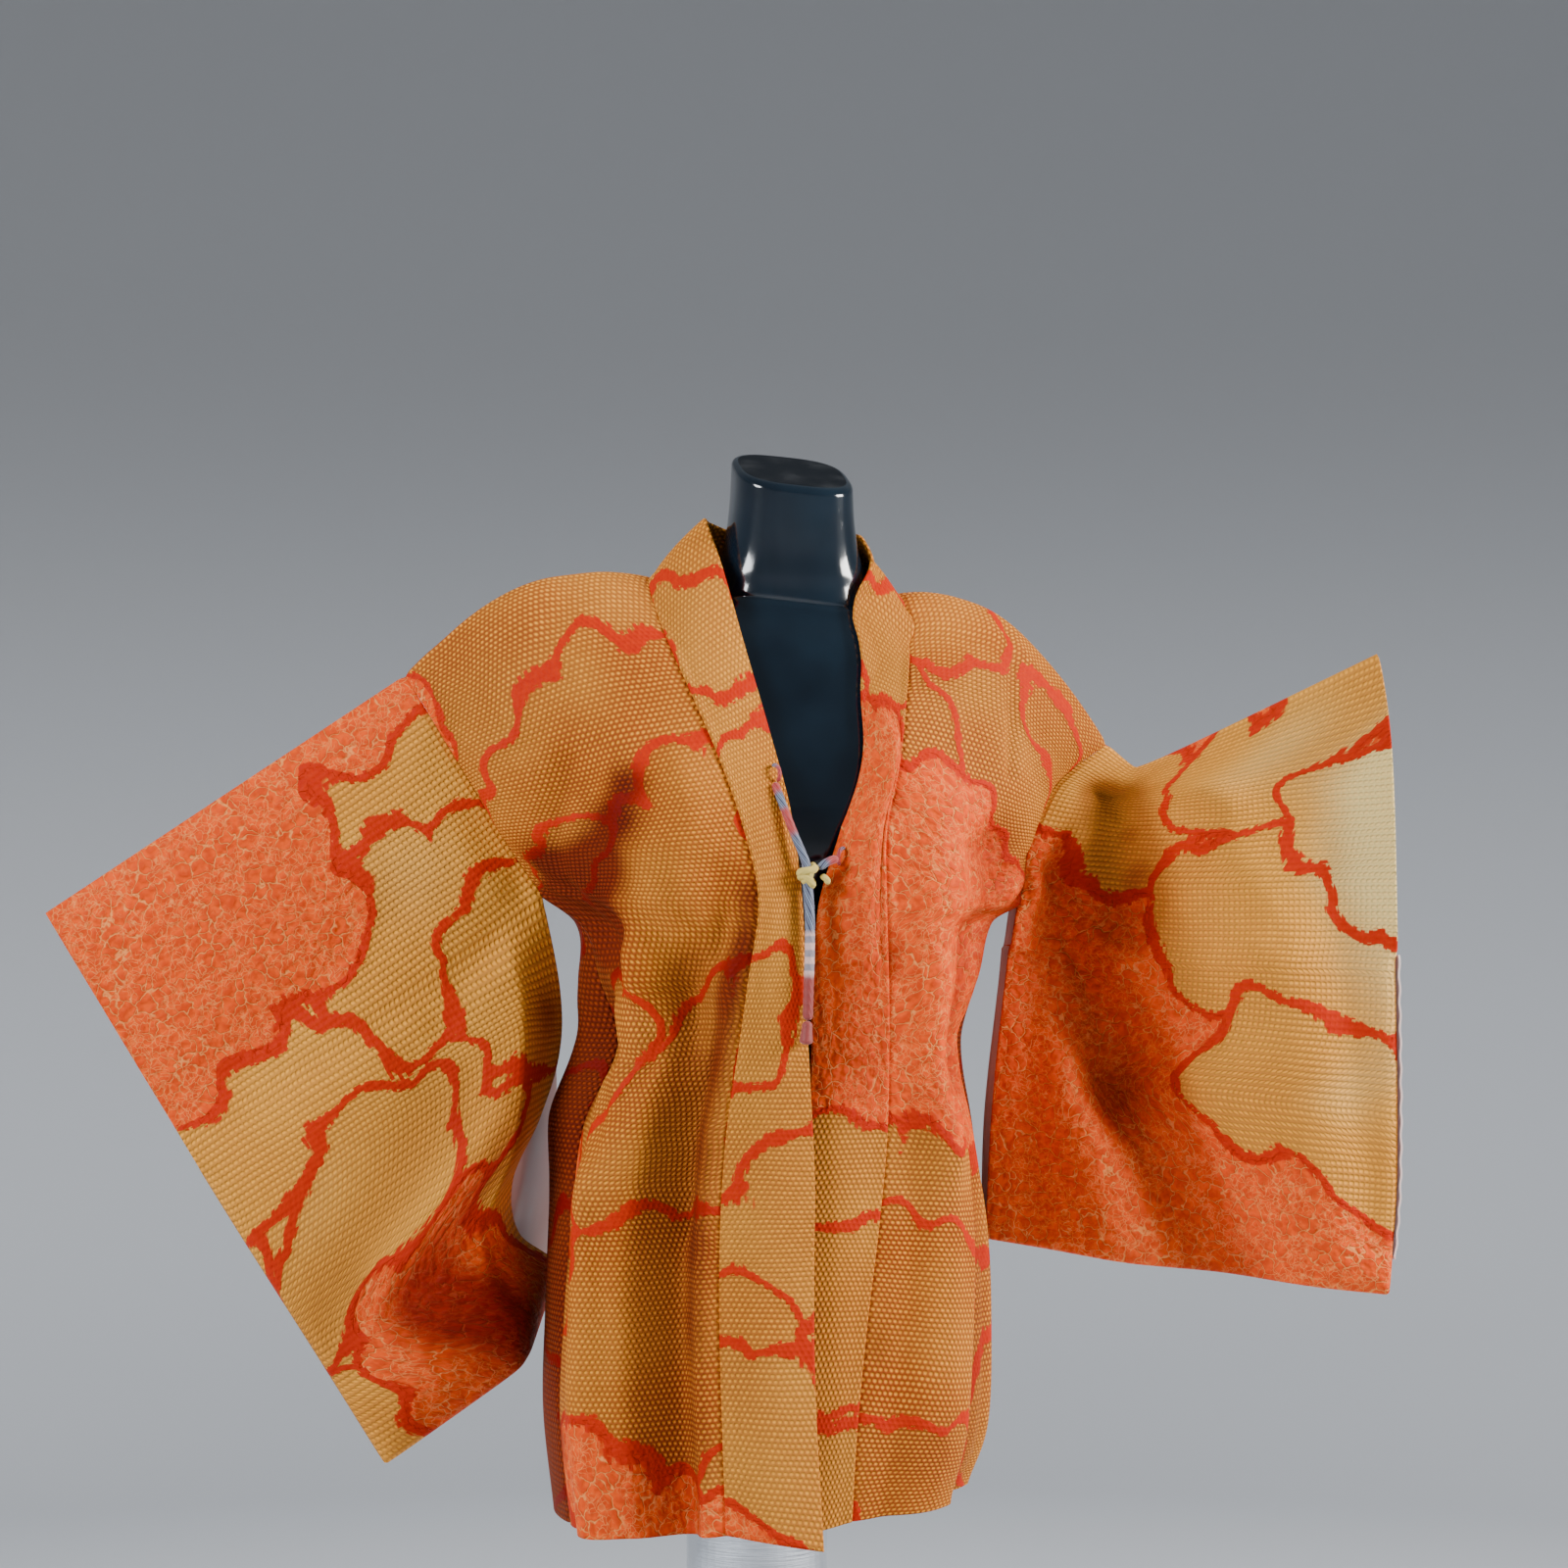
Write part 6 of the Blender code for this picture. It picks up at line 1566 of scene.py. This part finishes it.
class HAORI_OT_tie(bpy.types.Operator):
    """Make the tie, with its sewn loops, knot and flared end"""
    bl_idname = "haori.tie"
    bl_label = "Tie cord"

    def execute(self, context):
        braid = shared_finish("braid_mixed", braid_finish, "braid_mixed", False)
        mustard = shared_finish("braid_knot", braid_finish, "braid_knot", True)
        route = smooth_route(TIE_RIGHT + THROUGH_KNOT + TAIL, 0.0011)
        lengths = np.concatenate([[0.0], np.cumsum(np.linalg.norm(np.diff(route, axis=0), axis=1))])
        radii = TIE_RADIUS + (TAIL_RADIUS - TIE_RADIUS) * ease((lengths - 0.060) / 0.02)
        cord = rope_object("tie_cord", route, radii, 8, ROPE_TURN)
        cord.data.materials.append(braid)
        place_piece(cord, ["tie_right", "tie_tail"])
        left = rope_object("tie_left_cord", smooth_route(TIE_LEFT, 0.0008), TIE_RADIUS, 8, ROPE_TURN)
        left.data.materials.append(braid)
        place_piece(left, ["tie_left"])
        short = rope_object("tie_short_end", smooth_route(SHORT_END, 0.0006), TIE_RADIUS * 0.8, 6, ROPE_TURN)
        short.data.materials.append(mustard)
        place_piece(short, ["tie_short"])
        turns = knot_object("tie_knot")
        for number, turn in enumerate(turns):
            turn.name = "tie_knot_turn_" + str(number + 1)
            turn.data.materials.append(mustard)
            place_piece(turn, ["tie_knot"])
        for side, across, along in LOOPS:
            ring = loop_route(side, across, along)
            loop = rope_object("loop_" + side + "_cord", ring, LOOP_RADIUS, 4, 500.0, 0.03)
            loop.data.materials.append(braid)
            place_piece(loop, ["loop_" + side])
        flare = np.array(TASSEL)
        places = np.linspace(0.0, 1.0, 33)
        table = np.column_stack([(flare[0, 2] - flare[:, 2]) / (flare[0, 2] - flare[-1, 2]), flare])
        rows = curve(table, places)
        tassel = rope_object("tie_flare", rows[:, :3], rows[:, 3] * 0.92, 14, 60.0, 0.16)
        tassel.data.materials.append(braid)
        place_piece(tassel, ["tie_tassel"])
        return {"FINISHED"}


class HAORI_OT_body(bpy.types.Operator):
    """Make both body panels of the jacket"""
    bl_idname = "haori.body"
    bl_label = "Body panels"

    def execute(self, context):
        for side in SIDES:
            build_body(side)
        return {"FINISHED"}


class HAORI_OT_gussets(bpy.types.Operator):
    """Make both side gussets"""
    bl_idname = "haori.gussets"
    bl_label = "Side gussets"

    def execute(self, context):
        for side in SIDES:
            build_gusset(side)
        return {"FINISHED"}


class HAORI_OT_sleeves(bpy.types.Operator):
    """Make both sleeves"""
    bl_idname = "haori.sleeves"
    bl_label = "Sleeves"

    def execute(self, context):
        for side in SIDES:
            build_sleeve(side)
        return {"FINISHED"}


class HAORI_OT_collar(bpy.types.Operator):
    """Make both halves of the folded collar"""
    bl_idname = "haori.collar"
    bl_label = "Folded collar"

    def execute(self, context):
        for side in SIDES:
            build_collar(side)
        return {"FINISHED"}


class HAORI_OT_lining(bpy.types.Operator):
    """Make the lining where it shows in the sleeves"""
    bl_idname = "haori.lining"
    bl_label = "Sleeve lining"

    def execute(self, context):
        build_lining_right()
        build_lining_left()
        return {"FINISHED"}


def rounded_edge(share):
    """How far a rounded edge falls back, 0 to 1, at a share of its height."""
    return 1.0 - np.sqrt(np.clip(1.0 - share ** 2, 0.0, 1.0))


class HAORI_OT_form(bpy.types.Operator):
    """Make the smooth skin of the dress form with its neck and rounded top"""
    bl_idname = "haori.form"
    bl_label = "Dress form"

    def execute(self, context):
        heights = np.concatenate([
            np.linspace(0.644, 0.660, 9)[:-1], np.linspace(0.660, 1.30, 129)[:-1],
            np.linspace(1.30, 1.4395, 101), np.linspace(FORM_NECK_TOP, 1.4455, 9)])
        sections = curve(FORM, np.minimum(heights, FORM_NECK_TOP))
        centre_x, centre_y, half_width, front, back, square, slope = [part[:, None] for part in sections.T]
        grow = np.zeros_like(heights)
        top = heights >= FORM_NECK_TOP
        grow[top] = -FORM_EDGE_DEPTH * rounded_edge((heights[top] - FORM_NECK_TOP) / FORM_EDGE)
        low = heights < FORM_FOOT
        grow[low] = -FORM_FOOT_DEPTH * rounded_edge((FORM_FOOT - heights[low]) / FORM_FOOT_EDGE)
        angle = np.linspace(0.0, 2.0 * math.pi, FORM_CORNERS, endpoint=False)[None, :]
        sine, cosine = np.sin(angle), np.cos(angle)
        depth = np.where(sine > 0, back, front) + grow[:, None]
        across = np.sign(cosine) * np.abs(cosine) ** (2.0 / square) * (half_width + grow[:, None])
        along = np.sign(sine) * np.abs(sine) ** (2.0 / square) * depth
        groove_height = GROOVE_HEIGHT - 0.105 * (across + 0.02)
        off_groove = (heights[:, None] + 0.02 * along - groove_height) / GROOVE_WIDTH
        groove = GROOVE_DEPTH * np.exp(-off_groove ** 2)
        shrink = 1.0 - groove / np.maximum(np.hypot(across, along), 0.01)
        rise = slope * along - 0.25 * slope * across
        vertices = np.stack(
            [centre_x + across * shrink, centre_y + along * shrink, heights[:, None] + rise], axis=-1)
        faces = tube_faces(len(heights), FORM_CORNERS)
        mesh = bpy.data.meshes.new("form_skin")
        mesh.from_pydata(vertices.reshape(-1, 3).tolist(), [], faces)
        smooth = np.ones(len(faces), dtype=bool)
        smooth[-2:] = False
        mesh.polygons.foreach_set("use_smooth", smooth)
        mesh.materials.append(shared_finish("form_lacquer", gloss_finish))
        plate = plain_finish("form_plate", (0.003, 0.0045, 0.007), 0.50, 0.0, 400.0)
        plate.node_tree.nodes["Principled BSDF"].inputs["Specular IOR Level"].default_value = 0.22
        mesh.materials.append(plate)
        mesh.polygons[len(faces) - 1].material_index = 1
        mesh.update()
        place_piece(linked_object("form_skin", mesh), ["form_torso", "form_cap"])
        return {"FINISHED"}


class HAORI_OT_stand(bpy.types.Operator):
    """Finish the socket, bright fitting, pole and base of the stand"""
    bl_idname = "haori.stand"
    bl_label = "Stand"

    def execute(self, context):
        turned_grain = (30.0, 30.0, 900.0)
        finishes = {
            "stand_socket": plain_finish("moulded_black", (0.012, 0.013, 0.016), 0.34, 0.0, 600.0),
            "stand_fitting": plain_finish("chrome_turned", (0.72, 0.74, 0.77), 0.10, 1.0, turned_grain),
            "stand_pole": plain_finish("chrome_pole", (0.70, 0.72, 0.75), 0.14, 1.0, (700.0, 700.0, 20.0)),
            "stand_base": plain_finish("steel_painted", (0.045, 0.047, 0.052), 0.38, 0.2, 500.0),
        }
        for node, finish in finishes.items():
            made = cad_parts[node]
            for slot in made.material_slots:
                slot.material = finish
            bevel = made.modifiers.new("soft_edge", "BEVEL")
            bevel.width = 0.0009
            bevel.segments = 2
            bevel.limit_method = "ANGLE"
            bevel.angle_limit = math.radians(30.0)
        return {"FINISHED"}


def aimed_object(name, data, place, aim):
    """Camera or light at a place, turned to a point."""
    made = linked_object(name, data)
    made.location = place
    made.rotation_euler = (Vector(aim) - Vector(place)).to_track_quat("-Z", "Y").to_euler()
    return made


class HAORI_OT_camera(bpy.types.Operator):
    """Place the camera at the viewing angle of the picture"""
    bl_idname = "haori.camera"
    bl_label = "Camera"

    def execute(self, context):
        data = bpy.data.cameras.new("view")
        data.sensor_width = 36.0
        data.sensor_fit = "HORIZONTAL"
        data.lens = CAMERA_LENS
        data.clip_end = 60.0
        context.scene.camera = aimed_object("view", data, CAMERA_PLACE, CAMERA_AIM)
        return {"FINISHED"}


class HAORI_OT_studio(bpy.types.Operator):
    """Make the pale floor with its curved rim and the soft studio lights"""
    bl_idname = "haori.studio"
    bl_label = "Studio"

    def execute(self, context):
        settings = context.scene.haori_studio
        profile = [(0.0, 0.0), (2.0, 0.0), (FLOOR_RADIUS, 0.0)]
        for step in range(1, FLOOR_BEND_STEPS + 1):
            turn = math.pi / 2.0 * step / FLOOR_BEND_STEPS
            radius = FLOOR_RADIUS + FLOOR_BEND * math.sin(turn)
            profile.append((radius, FLOOR_BEND * (1.0 - math.cos(turn))))
        profile.append((FLOOR_RADIUS + FLOOR_BEND, FLOOR_TOP))
        vertices, faces = [(0.0, 0.0, 0.0)], []
        for radius, height in profile[1:]:
            for corner in range(FLOOR_CORNERS):
                angle = 2.0 * math.pi * corner / FLOOR_CORNERS
                vertices.append((radius * math.cos(angle), radius * math.sin(angle), height))
        for corner in range(FLOOR_CORNERS):
            after = (corner + 1) % FLOOR_CORNERS
            faces.append((0, 1 + corner, 1 + after))
            for row in range(len(profile) - 2):
                low, high = 1 + row * FLOOR_CORNERS, 1 + (row + 1) * FLOOR_CORNERS
                faces.append((low + corner, high + corner, high + after, low + after))
        mesh = bpy.data.meshes.new("studio_floor")
        mesh.from_pydata(vertices, [], faces)
        mesh.polygons.foreach_set("use_smooth", [True] * len(faces))
        finish = Finish("studio_paper", roughness=0.9)
        parts = finish.node("ShaderNodeSeparateXYZ")
        finish.put(parts.inputs[0], finish.object_places(1.0))
        # Painted shade: the paper darkens upward from the floor to the top of its rim
        shaded = tuple(part * 0.36 for part in settings.floor_colour)
        height = finish.ramp(parts.outputs[2], 0.05, 2.2)
        paper = finish.mix(height, (*settings.floor_colour, 1.0), (*shaded, 1.0))
        finish.put(finish.shader.inputs["Base Color"], paper)
        mesh.materials.append(finish.material)
        floor = linked_object("studio_floor", mesh)
        world = bpy.data.worlds.new("studio_world")
        world.use_nodes = True
        world.node_tree.nodes["Background"].inputs["Color"].default_value = (0.80, 0.88, 0.97, 1.0)
        world.node_tree.nodes["Background"].inputs["Strength"].default_value = settings.fill_strength
        context.scene.world = world
        lights = [
            ("key_light", (2.7, -1.1, 2.2), (0.10, 0.0, 1.15), 1.1, settings.key_power, (1.0, 0.97, 0.93)),
            ("left_light", (-2.6, -1.5, 2.5), (0.0, 0.0, 1.15), 1.2, settings.side_power, (0.95, 0.98, 1.0)),
            ("top_light", (0.2, 0.3, 3.2), (0.0, 0.0, 1.2), 1.8, settings.top_power, (0.97, 0.99, 1.0)),
            ("back_light", (0.4, 2.8, 2.4), (0.0, 0.0, 1.1), 1.8, settings.back_power, (0.97, 0.99, 1.0)),
        ]
        for name, place, aim, size, power, colour in lights:
            data = bpy.data.lights.new(name, "AREA")
            data.shape = "SQUARE"
            data.size = size
            data.energy = power
            data.color = colour
            made = aimed_object(name, data, place, aim)
            made.visible_glossy = name in ("key_light", "left_light")
        return {"FINISHED"}


class HaoriSizes(bpy.types.PropertyGroup):
    """Sizes of the silk and its pattern"""
    bead_pitch: bpy.props.FloatProperty(
        name="Bead pitch", description="Distance between tied beads", default=0.0044, unit="LENGTH")
    line_width: bpy.props.FloatProperty(
        name="Outline width", description="Width of the red line round each cloud",
        default=0.0094, unit="LENGTH")
    cloth_thickness: bpy.props.FloatProperty(
        name="Cloth thickness", description="Silk and lining together", default=0.0020, unit="LENGTH")
    collar_thickness: bpy.props.FloatProperty(
        name="Collar thickness", description="Folded collar", default=0.0034, unit="LENGTH")


class HaoriColours(bpy.types.PropertyGroup):
    """Colours of the silk, lining and form"""
    gold: bpy.props.FloatVectorProperty(
        name="Bead top", description="Raised part of the golden silk",
        default=(1.0, 0.37, 0.028), subtype="COLOR")
    gold_gap: bpy.props.FloatVectorProperty(
        name="Bead gap", description="Dyed silk between the beads",
        default=(0.26, 0.028, 0.001), subtype="COLOR")
    outline: bpy.props.FloatVectorProperty(
        name="Outline", description="Red line round each cloud",
        default=(0.46, 0.010, 0.0004), subtype="COLOR")
    salmon: bpy.props.FloatVectorProperty(
        name="Salmon", description="Crinkled ground between the clouds",
        default=(0.86, 0.088, 0.004), subtype="COLOR")
    crackle: bpy.props.FloatVectorProperty(
        name="Crackle", description="Pale cracks of the crinkled ground",
        default=(1.0, 0.45, 0.12), subtype="COLOR")
    lining: bpy.props.FloatVectorProperty(
        name="Lining", description="Pale silk inside", default=(0.86, 0.66, 0.62), subtype="COLOR")
    form: bpy.props.FloatVectorProperty(
        name="Form", description="Gloss of the dress form",
        default=(0.0012, 0.0040, 0.0085), subtype="COLOR")


class HaoriStudio(bpy.types.PropertyGroup):
    """Floor and lights"""
    floor_colour: bpy.props.FloatVectorProperty(
        name="Floor", description="Pale paper floor", default=(0.71, 0.735, 0.78), subtype="COLOR")
    fill_strength: bpy.props.FloatProperty(
        name="Fill", description="Strength of the light from all round", default=0.17)
    key_power: bpy.props.FloatProperty(
        name="Main light", description="Power of the light at the front right", default=168.0)
    side_power: bpy.props.FloatProperty(
        name="Left light", description="Power of the light at the left", default=122.0)
    top_power: bpy.props.FloatProperty(
        name="Top light", description="Power of the light above", default=26.0)
    back_power: bpy.props.FloatProperty(
        name="Back light", description="Power of the light behind", default=18.0)


class HAORI_PT_panel(bpy.types.Panel):
    """Sidebar panel with the jacket's pieces and settings"""
    bl_idname = "HAORI_PT_panel"
    bl_label = "Haori jacket"
    bl_space_type = "VIEW_3D"
    bl_region_type = "UI"
    bl_category = "Haori"

    def draw(self, context):
        layout = self.layout
        for group in (context.scene.haori_sizes, context.scene.haori_colours, context.scene.haori_studio):
            column = layout.column()
            for name in group.__annotations__:
                column.prop(group, name)
        column = layout.column()
        for operator in OPERATORS:
            column.operator(operator.bl_idname)


OPERATORS = (
    HAORI_OT_camera, HAORI_OT_tie, HAORI_OT_form, HAORI_OT_body, HAORI_OT_gussets, HAORI_OT_sleeves,
    HAORI_OT_collar, HAORI_OT_lining, HAORI_OT_stand, HAORI_OT_studio,
)
CLASSES = (HaoriSizes, HaoriColours, HaoriStudio, *OPERATORS, HAORI_PT_panel)


def register():
    """Add the classes and their settings."""
    for item in CLASSES:
        bpy.utils.register_class(item)
    bpy.types.Scene.haori_sizes = bpy.props.PointerProperty(type=HaoriSizes)
    bpy.types.Scene.haori_colours = bpy.props.PointerProperty(type=HaoriColours)
    bpy.types.Scene.haori_studio = bpy.props.PointerProperty(type=HaoriStudio)


def unregister():
    """Take the classes and their settings away again."""
    del bpy.types.Scene.haori_studio
    del bpy.types.Scene.haori_colours
    del bpy.types.Scene.haori_sizes
    for item in reversed(CLASSES):
        bpy.utils.unregister_class(item)


def main():
    """Build every piece in order."""
    register()
    bpy.ops.haori.camera()
    bpy.ops.haori.tie()
    bpy.ops.haori.form()
    bpy.ops.haori.body()
    bpy.ops.haori.gussets()
    bpy.ops.haori.sleeves()
    bpy.ops.haori.collar()
    bpy.ops.haori.lining()
    bpy.ops.haori.stand()
    bpy.ops.haori.studio()


if __name__ == "__main__":
    main()
